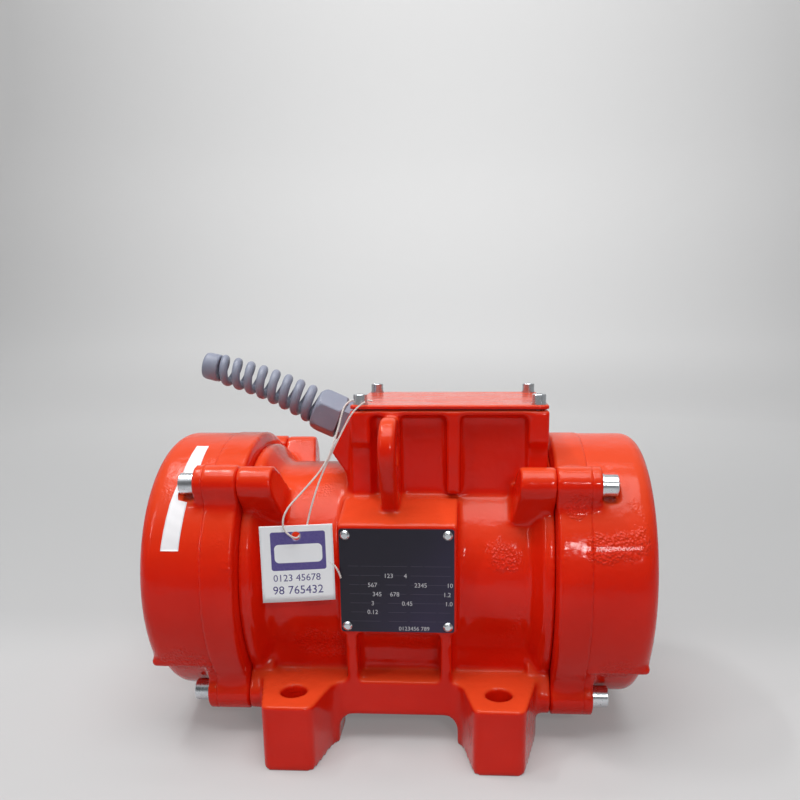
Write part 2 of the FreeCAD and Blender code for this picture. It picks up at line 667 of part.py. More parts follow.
def casting():
    """The cast and machined housing, without its lifting eye."""
    barrel, skirt = housing_barrel()
    bosses = []
    high = screw_boss(HIGH_BOSS_LENGTH, HIGH_BOSS_SLOPE)
    low = screw_boss(LOW_BOSS_LENGTH, LOW_BOSS_SLOPE)
    for boss, turn in ((high, 90 - BOLT_ANGLE), (low, 90 + BOLT_ANGLE)):
        for side in (-1, 1):
            placed = round_shaft(boss, side * turn)
            bosses += [placed, other_end(placed)]
    base = housing_base().fuse(skirt).cut(list(base_pockets()))
    body = barrel.fuse([base] + bosses + nameplate_pad() + terminal_box())
    for side in (-1, 1):
        far = side * BODY_HALF
        near = side * (BODY_HALF - REGISTER_DEPTH - SEAT_GAP)
        body = body.cut(rod(REGISTER_R + SEAT_GAP, min(far, near), max(far, near)))
        tap = side * (BODY_HALF - THREAD_DEPTH)
        for y, z in bolt_spots():
            body = body.cut(rod(M8_R + THREAD_GAP, min(far, tap), max(far, tap), y, z))
    body = body.cut(rod(BORE_R, -BODY_HALF, BODY_HALF))
    for sx in (-1, 1):
        for sy in (-1, 1):
            body = body.cut(upright(FOOT_HOLE_R, sx * FOOT_X, sy * FOOT_Y, -1, FOOT_HEIGHT + 1))
    body = body.cut(box_cavity())
    body = body.cut(upright(WIRE_HOLE_R, WIRE_HOLE_X, 0, SHAFT_HEIGHT, BOX_FLOOR + 1))
    body = body.cut(upright(M5_R + THREAD_GAP, EARTH_SCREW_X, 0, BOX_FLOOR - BLOCK_WALL * 2, BOX_FLOOR + 1))
    for x, y in lid_screw_spots():
        body = body.cut(upright(M5_R + THREAD_GAP, x, y, BOX_TOP - POST_LENGTH + 3, BOX_TOP))
    for x, z in plate_screw_spots():
        hole = Part.makeCylinder(PLATE_SCREW_R + THREAD_GAP, PLATE_SCREW_LENGTH + 1, Vector(x, -PAD_FRONT, z),
                                 Vector(0, 1, 0))
        body = body.cut(hole)
    entry = Part.makeCylinder(GLAND_THREAD_R + THREAD_GAP, 4 * GLAND_THREAD)
    body = body.cut(pointed(entry, GLAND_SEAT - GLAND_AXIS * 3 * GLAND_THREAD, GLAND_AXIS))
    spot = Part.makeCylinder(GLAND_HEX / math.sqrt(3) + SCREW_GAP, 2 * GLAND_THREAD)
    body = body.cut(pointed(spot, GLAND_SEAT, GLAND_AXIS))
    return body.removeSplitter()


def housing():
    """The one casting as nodes that meet face to face: body, foot pads, terminal box with its end, lifting eye.
    Each has a simple shape, so that the gaps between them stay open to whatever the part touches."""
    whole = casting()
    eye_hole = rod(LUG_HOLE_R, LUG_X - LUG_THICKNESS, LUG_X + LUG_THICKNESS, LUG_EYE_Y, LUG_EYE_Z)
    eye = lifting_lug().cut([whole, eye_hole])
    reach = 2 * BODY_HALF
    split_z = BOX_FLOOR - BOX_SPLIT_DROP
    walls = terminal_box()
    above = fuse(*walls).common(Part.makeBox(2 * reach, 2 * reach, reach, Vector(-reach, -reach, split_z)))
    pad_top = ARCH_HEIGHT - FOOT_SPLIT_DROP
    under = Part.makeBox(2 * BASE_END, 2 * reach, reach, Vector(-BASE_END, -reach, pad_top - reach))
    pads = whole.common(under)
    box = whole.common(above)
    end = Part.makeBox(reach, 2 * reach, reach, Vector(BOX_RIGHT - BOX_WALL, -reach, split_z))
    body = whole.cut([under, above])
    return body, pads, box.cut(end), box.common(end), eye


# ---- lobed outline shared by bearing flanges and covers -----------------------------------------
def lobed_disc(radius, start, end):
    """Disc with four lobes for the cover screws, and hollow fillets where the lobes leave the disc."""
    centre_r = radius + LOBE_FILLET
    reach = LOBE_R + LOBE_FILLET
    opening = math.acos((BOLT_CIRCLE_R ** 2 + centre_r ** 2 - reach ** 2) / (2 * BOLT_CIRCLE_R * centre_r))

    def spot(distance, angle):
        return Vector(start, distance * math.cos(angle), SHAFT_HEIGHT + distance * math.sin(angle))

    bolt = math.radians(BOLT_ANGLE)
    lobes = [bolt, math.pi - bolt, math.pi + bolt, 2 * math.pi - bolt]
    edges = []
    for i, angle in enumerate(lobes):
        middle = spot(BOLT_CIRCLE_R, angle)
        sides = []
        for side in (-1, 1):
            hollow = spot(centre_r, angle + side * opening)
            on_disc = spot(radius, angle + side * opening)
            on_lobe = hollow + (middle - hollow).normalize() * LOBE_FILLET
            between = ((on_disc - hollow) + (on_lobe - hollow)).normalize() * LOBE_FILLET + hollow
            sides.append((on_disc, between, on_lobe))
        (first, first_mid, first_lobe), (last, last_mid, last_lobe) = sides
        edges.append(Part.Arc(first, first_mid, first_lobe).toShape())
        edges.append(Part.Arc(first_lobe, spot(BOLT_CIRCLE_R + LOBE_R, angle), last_lobe).toShape())
        edges.append(Part.Arc(last_lobe, last_mid, last).toShape())
        onward = lobes[(i + 1) % 4] + (2 * math.pi if i == 3 else 0)
        rim_middle = spot(radius, (angle + onward) / 2)
        rim_end = spot(radius, onward - opening)
        edges.append(Part.Arc(last, rim_middle, rim_end).toShape())
    return Part.Face(Part.Wire(edges)).extrude(Vector(end - start, 0, 0))


def screw_holes(shape, start, end, radius):
    """A shape with the four cover-screw holes through it."""
    for y, z in bolt_spots():
        shape = shape.cut(rod(radius, start, end, y, z))
    return shape


# ---- bearing flange and bearing -----------------------------------------------------------------
def bearing_flange():
    """Right-hand end shield: lobed rim, web, bearing hub and the spigot that centres it."""
    web_in = RECESS_FLOOR - FLANGE_WEB
    spigot = REGISTER_R
    disc = turned([
        (HUB_INNER, HUB_LIP_R), (BEARING_IN - SEAT_GAP, HUB_LIP_R),
        (BEARING_IN - SEAT_GAP, BEARING_R + SEAT_GAP),
        (HUB_FACE, BEARING_R + SEAT_GAP), (HUB_FACE, HUB_R), (RECESS_FLOOR, HUB_R, 3),
        (RECESS_FLOOR, FLANGE_RECESS_R, 3), (FLANGE_FACE, FLANGE_RECESS_R), (FLANGE_FACE, FLANGE_R),
        (BODY_HALF + FLANGE_CONE, FLANGE_R), (BODY_HALF, END_RIM_R), (BODY_HALF, spigot),
        (BODY_HALF - REGISTER_DEPTH, spigot), (BODY_HALF - REGISTER_DEPTH, spigot - SPIGOT_WALL),
        (web_in, spigot - SPIGOT_WALL, 2), (web_in, HUB_R, 3), (HUB_INNER, HUB_R),
    ])
    lobes = lobed_disc(FLANGE_R, BODY_HALF, FLANGE_FACE).cut(rod(FLANGE_R - 1, BODY_HALF, FLANGE_FACE))
    cone = turned([(BODY_HALF, END_RIM_R), (BODY_HALF + FLANGE_CONE, FLANGE_R + 0.5),
                   (BODY_HALF, FLANGE_R + 0.5)])
    for y, z in bolt_spots():
        cone = cone.cut(rod(LOBE_R, BODY_HALF - 1, FLANGE_FACE, y, z))
    flange = disc.fuse(lobes).cut(cone)
    flange = screw_holes(flange, BODY_HALF - 1, FLANGE_FACE + 1, M8_R + SCREW_GAP)
    for angle in range(0, 360, 360 // CAP_SCREW_COUNT):
        hole = rod(M5_R + THREAD_GAP, HUB_FACE - CAP_SCREW_DEPTH, HUB_FACE, 0, SHAFT_HEIGHT + CAP_SCREW_R)
        flange = flange.cut(round_shaft(hole, angle))
    return flange.removeSplitter()


def bearing_rings():
    """Outer and inner ring of the right-hand ball bearing."""
    middle = BEARING_IN + BEARING_WIDTH / 2
    end = BEARING_IN + BEARING_WIDTH
    outer = turned([(BEARING_IN, OUTER_LAND_R), (end, OUTER_LAND_R),
                    (end, BEARING_R, 1), (BEARING_IN, BEARING_R, 1)])
    inner = turned([(BEARING_IN, BEARING_BORE_R + SEAT_GAP), (end, BEARING_BORE_R + SEAT_GAP),
                    (end, INNER_LAND_R),
                    (BEARING_IN, INNER_LAND_R)])
    outer_centre = BALL_PITCH_R + BALL_R + BALL_GAP - GROOVE_R
    inner_centre = BALL_PITCH_R - BALL_R - BALL_GAP + GROOVE_R
    place = Vector(middle, 0, SHAFT_HEIGHT)
    outer = outer.cut(Part.makeTorus(outer_centre, GROOVE_R, place, Vector(1, 0, 0)))
    inner = inner.cut(Part.makeTorus(inner_centre, GROOVE_R, place, Vector(1, 0, 0)))
    return outer, inner


def ball_spots():
    """Centres of the balls of the right-hand bearing."""
    middle = BEARING_IN + BEARING_WIDTH / 2
    angles = [2 * math.pi * k / BALL_COUNT for k in range(BALL_COUNT)]
    return [Vector(middle, BALL_PITCH_R * math.sin(a), SHAFT_HEIGHT + BALL_PITCH_R * math.cos(a))
            for a in angles]


def ball_cage():
    """Ring that keeps the balls apart."""
    middle = BEARING_IN + BEARING_WIDTH / 2
    low = BALL_PITCH_R - CAGE_THICKNESS / 2
    high = BALL_PITCH_R + CAGE_THICKNESS / 2
    cage = turned(rectangle(middle - CAGE_HALF_WIDTH, middle + CAGE_HALF_WIDTH, low, high))
    for spot in ball_spots():
        cage = cage.cut(Part.makeSphere(BALL_R + BALL_POCKET_GAP, spot))
    return cage


def bearing_cap():
    """Cap on the hub that holds the outer ring, with sunk screw heads."""
    face = HUB_FACE + SEAT_GAP
    cap = turned([(face, CAP_BORE_R), (CAP_FACE, CAP_BORE_R), (CAP_FACE, HUB_R, 1), (face, HUB_R)])
    for angle in range(0, 360, 360 // CAP_SCREW_COUNT):
        hole = rod(M5_R + SCREW_GAP, HUB_FACE - 1, CAP_FACE + 1, 0, SHAFT_HEIGHT + CAP_SCREW_R)
        sink = rod(M5_R * HEAD_R_PER_SHANK + SCREW_GAP, CAP_FACE - 2 * M5_R, CAP_FACE + 1, 0,
                   SHAFT_HEIGHT + CAP_SCREW_R)
        cap = cap.cut(round_shaft(hole.fuse(sink), angle))
    return cap


def cap_screws():
    """Screws of the bearing cap."""
    place = Vector(CAP_FACE - 2 * M5_R + SEAT_GAP, 0, SHAFT_HEIGHT + CAP_SCREW_R)
    screw = pointed(socket_screw(M5_R, CAP_SCREW_DEPTH), place, Vector(1, 0, 0))
    return [round_shaft(screw, angle) for angle in range(0, 360, 360 // CAP_SCREW_COUNT)]


# ---- cover --------------------------------------------------------------------------------------
def cover_form(inset, start):
    """Outside of the cover, or its inside when inset: a rounded cup, drawn in below two ledges."""
    end = COVER_END - inset
    upper_r = COVER_R - inset
    lower_r = COVER_LOW_R - inset
    upper = turned([(start, 0), (start, upper_r), (end, upper_r, COVER_EDGE_R - inset), (end, 0)])
    lower = turned([(start, 0), (start, lower_r), (end, lower_r, COVER_LOW_EDGE_R - inset), (end, 0)])
    ledge_z = SHAFT_HEIGHT - LEDGE_DROP + inset
    below = Part.makeBox(COVER_END, 4 * COVER_R, COVER_R, Vector(start - 1, -2 * COVER_R, ledge_z - COVER_R))
    return fuse(lower, upper.cut(below))


def cover():
    """Right-hand weight cover: lobed flange, cup, and a pocket at each screw head."""
    shell = cover_form(0, FLANGE_FACE + SEAT_GAP)
    flange = lobed_disc(COVER_R - 1, FLANGE_FACE + SEAT_GAP, COVER_SEAT)
    lip_r = FLANGE_RECESS_R - SEAT_GAP
    lip = rod(lip_r, FLANGE_FACE - COVER_LIP, FLANGE_FACE + 1)
    bead_z = SHAFT_HEIGHT - LEDGE_DROP + BEAD_R
    bead_reach = math.sqrt((COVER_R - BEAD_SINK) ** 2 - (LEDGE_DROP - BEAD_R) ** 2)
    bead_end = COVER_END - BEAD_R - BEAD_END_GAP
    beads = []
    for side in (-1, 1):
        bead_y = side * bead_reach
        beads.append(rod(BEAD_R, FLANGE_FACE + SEAT_GAP, bead_end, bead_y, bead_z))
        beads.append(Part.makeSphere(BEAD_R, Vector(bead_end, bead_y, bead_z)))
    solid = shell.fuse([flange, lip] + beads)
    for y, z in bolt_spots():
        pocket = rod(POCKET_R, COVER_SEAT, COVER_SEAT + POCKET_LENGTH, y, z)
        ball = Part.makeSphere(POCKET_R, Vector(COVER_SEAT + POCKET_LENGTH, y, z))
        solid = solid.cut(pocket.fuse(ball))
    inside = cover_form(COVER_WALL, COVER_SEAT)
    for y, z in bolt_spots():
        thick = rod(POCKET_R + COVER_WALL, COVER_SEAT - 1, COVER_SEAT + POCKET_LENGTH, y, z)
        ball = Part.makeSphere(POCKET_R + COVER_WALL, Vector(COVER_SEAT + POCKET_LENGTH, y, z))
        inside = inside.cut(thick.fuse(ball))
    mouth = rod(lip_r - COVER_LIP_WALL, FLANGE_FACE - COVER_LIP, COVER_SEAT + 1)
    solid = solid.cut(inside.fuse(mouth))
    groove_middle = FLANGE_FACE - COVER_LIP / 2
    groove_floor = FLANGE_RECESS_R - SEAT_GAP - 2 * SEAL_R
    groove = turned(rectangle(groove_middle - SEAL_R - SEAT_GAP, groove_middle + SEAL_R + SEAT_GAP,
                              groove_floor - SEAT_GAP, lip_r + 1))
    solid = solid.cut(groove)
    return screw_holes(solid, FLANGE_FACE - 1, COVER_SEAT + 1, M8_R + SCREW_GAP).removeSplitter()


def cover_seal():
    """O-ring round the lip of the cover."""
    place = Vector(FLANGE_FACE - COVER_LIP / 2, 0, SHAFT_HEIGHT)
    return Part.makeTorus(FLANGE_RECESS_R - SEAT_GAP - SEAL_R, SEAL_R, place, Vector(1, 0, 0))


def cover_fasteners():
    """Four long screws and their spring washers."""
    seat = COVER_SEAT + SEAT_GAP
    length = COVER_SEAT + WASHER_8 - (BODY_HALF - THREAD_DEPTH) - 1
    screws = []
    washers = []
    for y, z in bolt_spots():
        washers.append(pointed(spring_washer(M8_R, WASHER_8), Vector(seat, y, z), Vector(1, 0, 0)))
        head_seat = Vector(seat + WASHER_8 + SEAT_GAP, y, z)
        screws.append(pointed(socket_screw(M8_R, length), head_seat, Vector(1, 0, 0)))
    return screws, washers


# ---- stator and rotor ---------------------------------------------------------------------------
def slot_bars(gap, half_length):
    """Bars that fill the stator slots, less a gap."""
    bars = []
    for k in range(STATOR_SLOTS):
        bar = Part.makeBox(2 * half_length, SLOT_WIDTH - 2 * gap, SLOT_END_R - SLOT_START_R - 2 * gap,
                           Vector(-half_length, gap - SLOT_WIDTH / 2, SHAFT_HEIGHT + SLOT_START_R + gap))
        bars.append(round_shaft(bar, 360 * k / STATOR_SLOTS))
    return bars


def stator_core():
    """Slotted lamination stack."""
    stack = rod(STATOR_R, -STACK_HALF, STACK_HALF).cut(rod(ROTOR_R + AIR_GAP, -STACK_HALF, STACK_HALF))
    return stack.cut(slot_bars(0, STACK_HALF + 1))


def stator_windings():
    """Copper in the slots, joined by the two end turns."""
    start = STACK_HALF + 1
    end = STACK_HALF + WINDING_REACH
    coil = turned([(start, WINDING_INNER_R, 3), (end, WINDING_INNER_R, 7), (end, WINDING_OUTER_R, 7),
                   (start, WINDING_OUTER_R, 3)])
    return fuse(coil, other_end(coil), *slot_bars(SLOT_GAP, start + 4))


def rotor_shaft():
    """Stepped shaft with a keyway and a circlip groove at each end."""
    groove = LOOSE_OUT + SEAT_GAP
    half = [(0, ROTOR_SEAT_R), (BEARING_IN - SEAT_GAP, ROTOR_SEAT_R, 0.5),
            (BEARING_IN - SEAT_GAP, BEARING_BORE_R), (HUB_FACE, BEARING_BORE_R), (HUB_FACE, SHAFT_WEIGHT_R),
            (groove, SHAFT_WEIGHT_R), (groove, SHAFT_WEIGHT_R - CIRCLIP_DEPTH),
            (groove + CIRCLIP_WIDTH, SHAFT_WEIGHT_R - CIRCLIP_DEPTH), (groove + CIRCLIP_WIDTH, SHAFT_WEIGHT_R),
            (SHAFT_END, SHAFT_WEIGHT_R, 1), (SHAFT_END, 0), (0, 0)]
    right = turned(half)
    shaft = fuse(right, other_end(right))
    slot = key_block(SEAT_GAP)
    return shaft.cut(slot).cut(other_end(slot))


def key_block(gap):
    """Parallel key of the right-hand fixed weight, grown by a gap."""
    low = SHAFT_HEIGHT + SHAFT_WEIGHT_R - KEY_DEPTH
    return Part.makeBox(FIXED_WEIGHT_WIDTH - 1 + 2 * gap, KEY_WIDTH + 2 * gap, KEY_HEIGHT + 2 * gap,
                        Vector(FIXED_IN + 0.5 - gap, -KEY_WIDTH / 2 - gap, low - gap))


def circlip():
    """Open ring in the groove at the right-hand shaft end."""
    start = LOOSE_OUT + SEAT_GAP * 2
    width = CIRCLIP_WIDTH - SEAT_GAP * 2
    inner = SHAFT_WEIGHT_R - CIRCLIP_DEPTH + SEAT_GAP
    ring = turned(rectangle(start, start + width, inner, inner + CIRCLIP_HEIGHT))
    gap = Part.makeBox(3 * width, SHAFT_WEIGHT_R / 2, 2 * inner,
                       Vector(start - width, -SHAFT_WEIGHT_R / 4, SHAFT_HEIGHT))
    return ring.cut(gap)


def rotor_core():
    """Lamination stack on the shaft."""
    core = rod(ROTOR_R, -STACK_HALF, STACK_HALF)
    return core.cut(rod(ROTOR_SEAT_R + SEAT_GAP, -STACK_HALF, STACK_HALF))


def rotor_end_rings():
    """Cast aluminium end rings with fan blades' roots, one at each face of the stack."""
    face = STACK_HALF + SEAT_GAP
    ring = turned([(face, END_RING_INNER_R), (face + END_RING_WIDTH, END_RING_INNER_R, 1),
                   (face + END_RING_WIDTH, END_RING_OUTER_R, 2), (face, END_RING_OUTER_R)])
    return [ring, other_end(ring)]


# ---- eccentric weights --------------------------------------------------------------------------
def weight_sector(start, end):
    """Heavy sector below the shaft, and the round hub."""
    spread = math.radians(WEIGHT_HALF_ANGLE)
    low = Vector(start, 0, SHAFT_HEIGHT - WEIGHT_R)
    right = Vector(start, WEIGHT_R * math.sin(spread), SHAFT_HEIGHT - WEIGHT_R * math.cos(spread))
    left = Vector(start, -right.y, right.z)
    centre = Vector(start, 0, SHAFT_HEIGHT)
    edges = [Part.Arc(left, low, right), Part.LineSegment(right, centre), Part.LineSegment(centre, left)]
    face = Part.Face(Part.Wire([e.toShape() for e in edges]))
    return face.extrude(Vector(end - start, 0, 0)).fuse(rod(WEIGHT_HUB_R, start, end))


def fixed_weight():
    """Keyed weight next to the bearing, with its spacer boss against the inner ring."""
    weight = weight_sector(FIXED_IN, FIXED_OUT).fuse(rod(SPACER_R, HUB_FACE + SEAT_GAP, FIXED_IN + 1))
    weight = weight.cut(rod(SHAFT_WEIGHT_R + SEAT_GAP, HUB_FACE - 1, FIXED_OUT + 1))
    low = SHAFT_HEIGHT + SHAFT_WEIGHT_R - KEY_DEPTH
    slot = Part.makeBox(FIXED_WEIGHT_WIDTH + 2, KEY_WIDTH + 2 * SEAT_GAP, KEY_HEIGHT + SEAT_GAP,
                        Vector(FIXED_IN - 1, -KEY_WIDTH / 2 - SEAT_GAP, low))
    return weight.cut(slot).removeSplitter()


def adjustable_weight():
    """Outer weight: the same sector, with a split clamp that grips the shaft."""
    weight = weight_sector(LOOSE_IN, LOOSE_OUT)
    ears = end_view([(-EAR_HALF_Y, SHAFT_HEIGHT), (EAR_HALF_Y, SHAFT_HEIGHT),
                     (EAR_HALF_Y, SHAFT_HEIGHT + EAR_TOP, 4),
                     (-EAR_HALF_Y, SHAFT_HEIGHT + EAR_TOP, 4)], LOOSE_IN, LOOSE_OUT)
    weight = weight.fuse(ears).cut(rod(SHAFT_WEIGHT_R + RUNNING_GAP, LOOSE_IN - 1, LOOSE_OUT + 1))
    slit = Part.makeBox(LOOSE_WEIGHT_WIDTH + 2, EAR_SLOT, EAR_TOP + 1,
                        Vector(LOOSE_IN - 1, -EAR_SLOT / 2, SHAFT_HEIGHT))
    middle = (LOOSE_IN + LOOSE_OUT) / 2
    hole = Part.makeCylinder(M6_R + SCREW_GAP / 2, 2 * EAR_HALF_Y + 2,
                             Vector(middle, -EAR_HALF_Y - 1, SHAFT_HEIGHT + CLAMP_SCREW_Z), Vector(0, 1, 0))
    return weight.cut(slit).cut(hole).removeSplitter()


def clamp_screw():
    """Screw across the split clamp."""
    middle = (LOOSE_IN + LOOSE_OUT) / 2
    place = Vector(middle, -EAR_HALF_Y - SEAT_GAP, SHAFT_HEIGHT + CLAMP_SCREW_Z)
    return pointed(socket_screw(M6_R, 2 * EAR_HALF_Y), place, Vector(0, -1, 0))


# ---- lid, terminals, nameplate ------------------------------------------------------------------
def lid_outline(inset):
    """Corners of the lid, inset all round."""
    return rectangle(BOX_LEFT + inset, BOX_RIGHT - inset, inset - BOX_HALF_Y, BOX_HALF_Y - inset, BOX_CORNER_R)


def terminal_box_lid():
    """Flat cast lid with a rounded upper edge."""
    lid = plan(lid_outline(0), LID_BOTTOM + SEAT_GAP, LID_TOP)
    top_edges = [e for e in lid.Edges if e.BoundBox.ZMin > LID_TOP - 0.1]
    lid = lid.makeFillet(LID_THICKNESS / 3, top_edges)
    for x, y in lid_screw_spots():
        lid = lid.cut(upright(M5_R + SCREW_GAP, x, y, LID_BOTTOM - 1, LID_TOP + 1))
    return lid


def lid_gasket():
    """Rubber frame between box and lid."""
    low = BOX_TOP + SEAT_GAP
    gasket = plan(lid_outline(GASKET_INSET), low, LID_BOTTOM)
    inner = BOX_WALL_HALF_Y - BOX_WALL
    opening = rectangle(BOX_LEFT + BOX_WALL, BOX_RIGHT - BOX_WALL, -inner, inner)
    gasket = gasket.cut(plan(opening, low - 1, LID_BOTTOM + 1))
    for x, y in lid_screw_spots():
        gasket = gasket.cut(upright(M5_R + SCREW_GAP, x, y, low - 1, LID_BOTTOM + 1))
    return gasket


def lid_fasteners():
    """Four screws with spring washers."""
    length = LID_THICKNESS + GASKET_THICKNESS + WASHER_5 + POST_LENGTH - 6
    screws = []
    washers = []
    for x, y in lid_screw_spots():
        washer = spring_washer(M5_R, WASHER_5)
        washers.append(pointed(washer, Vector(x, y, LID_TOP + SEAT_GAP), Vector(0, 0, 1)))
        seat = Vector(x, y, LID_TOP + WASHER_5 + 2 * SEAT_GAP)
        screws.append(pointed(socket_screw(M5_R, length), seat, Vector(0, 0, 1)))
    return screws, washers


def stud_spots():
    """(x, y) of the six terminals."""
    return [(BOX_CENTRE_X + k * STUD_PITCH_X, sy * STUD_PITCH_Y / 2) for k in (-1, 0, 1) for sy in (-1, 1)]


def terminal_block():
    """Moulded block on the box floor, with a barrier between its terminals."""
    low = BOX_FLOOR + SEAT_GAP
    top = low + BLOCK_HEIGHT
    block = plan(rectangle(BOX_CENTRE_X - BLOCK_HALF_X, BOX_CENTRE_X + BLOCK_HALF_X,
                           -BLOCK_HALF_Y, BLOCK_HALF_Y, 3),
                 low, top)
    for k in (-1, 1):
        x = BOX_CENTRE_X + k * STUD_PITCH_X / 2
        wall = Part.makeBox(BLOCK_WALL, 2 * BLOCK_HALF_Y - 2, BLOCK_WALL * 2,
                            Vector(x - BLOCK_WALL / 2, 1 - BLOCK_HALF_Y, top - 1))
        block = block.fuse(wall)
    for x, y in stud_spots():
        block = block.cut(upright(M5_R + SEAT_GAP, x, y, low + BLOCK_WALL, top + 1))
    return block.removeSplitter()


def terminal_studs():
    """Threaded brass studs in the block."""
    low = BOX_FLOOR + 2 * SEAT_GAP + BLOCK_WALL
    top = BOX_FLOOR + BLOCK_HEIGHT + STUD_HEIGHT
    return [upright(M5_R, x, y, low, top) for x, y in stud_spots()]


def terminal_nuts():
    """One nut on each stud."""
    low = BOX_FLOOR + BLOCK_HEIGHT + 2 * SEAT_GAP
    bore = upright(M5_R + THREAD_GAP, 0, 0, low - 1, low + NUT_HEIGHT)
    nut = plan(hexagon(NUT_ACROSS), low, low + NUT_HEIGHT).cut(bore)
    nuts = []
    for x, y in stud_spots():
        copy = nut.copy()
        copy.translate(Vector(x, y, 0))
        nuts.append(copy)
    return nuts


def earth_screw():
    """Screw for the protective conductor, in the box floor."""
    place = Vector(EARTH_SCREW_X, 0, BOX_FLOOR + SEAT_GAP)
    length = BOX_FLOOR - SHAFT_HEIGHT - BORE_R - EARTH_SCREW_COVER
    return pointed(socket_screw(M5_R, length), place, Vector(0, 0, 1))


def nameplate():
    """Thin plate on the pad."""
    left, right = PAD_CENTRE_X - PLATE_HALF_X, PAD_CENTRE_X + PLATE_HALF_X
    corners = rectangle(left, right, PLATE_BOTTOM, PLATE_TOP, PLATE_CORNER_R)
    plate = front_view(corners, PLATE_Y - PLATE_THICKNESS, PLATE_Y)
    for x, z in plate_screw_spots():
        hole = Part.makeCylinder(PLATE_SCREW_R + THREAD_GAP, 2 * PLATE_THICKNESS + 1,
                                 Vector(x, PLATE_Y - 2 * PLATE_THICKNESS, z), Vector(0, 1, 0))
        plate = plate.cut(hole)
    return plate


def nameplate_screws():
    """Drive screws with domed heads."""
    face = outline([(0, -PLATE_SCREW_LENGTH), (PLATE_SCREW_R, -PLATE_SCREW_LENGTH), (PLATE_SCREW_R, 0),
                    (PLATE_SCREW_HEAD_R, 0), (PLATE_SCREW_HEAD_R, PLATE_SCREW_HEAD / 3),
                    (PLATE_SCREW_HEAD_R * 0.6, PLATE_SCREW_HEAD, 1), (0, PLATE_SCREW_HEAD)],
                   lambda a, b: Vector(a, 0, b))
    screw = face.revolve(Vector(0, 0, 0), Vector(0, 0, 1), 360)
    seat = PLATE_Y - PLATE_THICKNESS - SEAT_GAP
    return [pointed(screw, Vector(x, seat, z), Vector(0, -1, 0)) for x, z in plate_screw_spots()]


# ---- cable gland --------------------------------------------------------------------------------
def gland_piece(shape):
    """A gland piece drawn along +Z, put on the gland face of the box."""
    return pointed(shape, GLAND_SEAT, GLAND_AXIS)


def gland_body():
    """Threaded tube with its hexagonal collar and the neck that the nut goes on."""
    top = GLAND_COLLAR + GLAND_NECK
    thread = Part.makeCylinder(GLAND_THREAD_R, GLAND_THREAD, Vector(0, 0, -GLAND_THREAD))
    collar = plan(hexagon(GLAND_HEX), SEAT_GAP, GLAND_COLLAR)
    neck = Part.makeCylinder(GLAND_NECK_R, top - SEAT_GAP, Vector(0, 0, SEAT_GAP))
    hole = Part.makeCylinder(GLAND_NECK_R - GLAND_SHELL, top + GLAND_THREAD + 1, Vector(0, 0, -GLAND_THREAD))
    link = Part.makeCylinder(GLAND_NECK_R, 1)
    return gland_piece(fuse(thread, link, collar, neck).cut(hole))


def gland_seal():
    """Rubber insert that grips the cable."""
    outer = GLAND_NECK_R - GLAND_SHELL - SEAT_GAP
    seal = Part.makeCylinder(outer, GLAND_NECK, Vector(0, 0, GLAND_COLLAR))
    return gland_piece(seal.cut(Part.makeCylinder(CABLE_R, GLAND_NECK, Vector(0, 0, GLAND_COLLAR))))


def gland_nut():
    """Hexagonal dome nut, the anti-kink spiral moulded on it and the sleeve at its tip."""
    nut = plan(hexagon(GLAND_HEX), GLAND_NUT_START, GLAND_NUT_END)
    cone = Part.makeCone(GLAND_HEX / math.sqrt(3) + 2, GLAND_HEX / 2 - 1, GLAND_NUT,
                         Vector(0, 0, GLAND_NUT_START))
    nut = nut.common(cone)
    inner_top = GLAND_COLLAR + GLAND_NECK + SEAT_GAP
    nut = nut.cut(Part.makeCylinder(GLAND_NECK_R + THREAD_GAP, inner_top - GLAND_NUT_START,
                                    Vector(0, 0, GLAND_NUT_START)))
    nut = nut.cut(Part.makeCylinder(CABLE_R + 1, GLAND_NUT, Vector(0, 0, inner_top)))
    lead = SPIRAL_WIRE / 3
    taper = math.degrees(math.atan((SPIRAL_START_R - SPIRAL_END_R) / SPIRAL_LENGTH))
    path = Part.makeHelix(SPIRAL_PITCH, SPIRAL_LENGTH, SPIRAL_START_R, -taper)
    section = [Vector(SPIRAL_START_R + a, 0, b) for a, b in hexagon(SPIRAL_WIRE * 0.93)]
    section = Part.makePolygon(section + [section[0]])
    spiral = Part.Wire(path).makePipeShell([section], True, True)
    spiral = Part.Solid(spiral) if spiral.ShapeType == "Shell" else spiral
    spiral.translate(Vector(0, 0, GLAND_NUT_END - lead))
    sleeve_low = GLAND_NUT_END + SPIRAL_LENGTH - 2 * lead
    sleeve = Part.makeCylinder(SLEEVE_R, SLEEVE_LENGTH, Vector(0, 0, sleeve_low))
    sleeve = sleeve.cut(Part.makeCylinder(CABLE_R + 0.5, SLEEVE_LENGTH, Vector(0, 0, sleeve_low)))
    return gland_piece(nut.fuse([spiral, sleeve]))


# ---- hang tag and string ------------------------------------------------------------------------
def hang_tag():
    """Card with a punched hole."""
    near = TAG_Y - TAG_THICKNESS / 2
    far = TAG_Y + TAG_THICKNESS / 2
    corners = rectangle(-TAG_WIDTH / 2, TAG_WIDTH / 2, -TAG_HEIGHT / 2, TAG_HEIGHT / 2, 0.5)
    card = front_view(corners, near, far)
    hole = Part.makeCylinder(TAG_HOLE_R, 2 * TAG_THICKNESS, Vector(0, near - TAG_THICKNESS / 2,
                             TAG_HEIGHT / 2 - TAG_HOLE_DROP), Vector(0, 1, 0))
    card = card.cut(hole)
    card.rotate(Vector(0, TAG_Y, 0), Vector(0, 1, 0), TAG_TILT)
    card.translate(Vector(TAG_CENTRE_X, 0, TAG_CENTRE_Z))
    return card


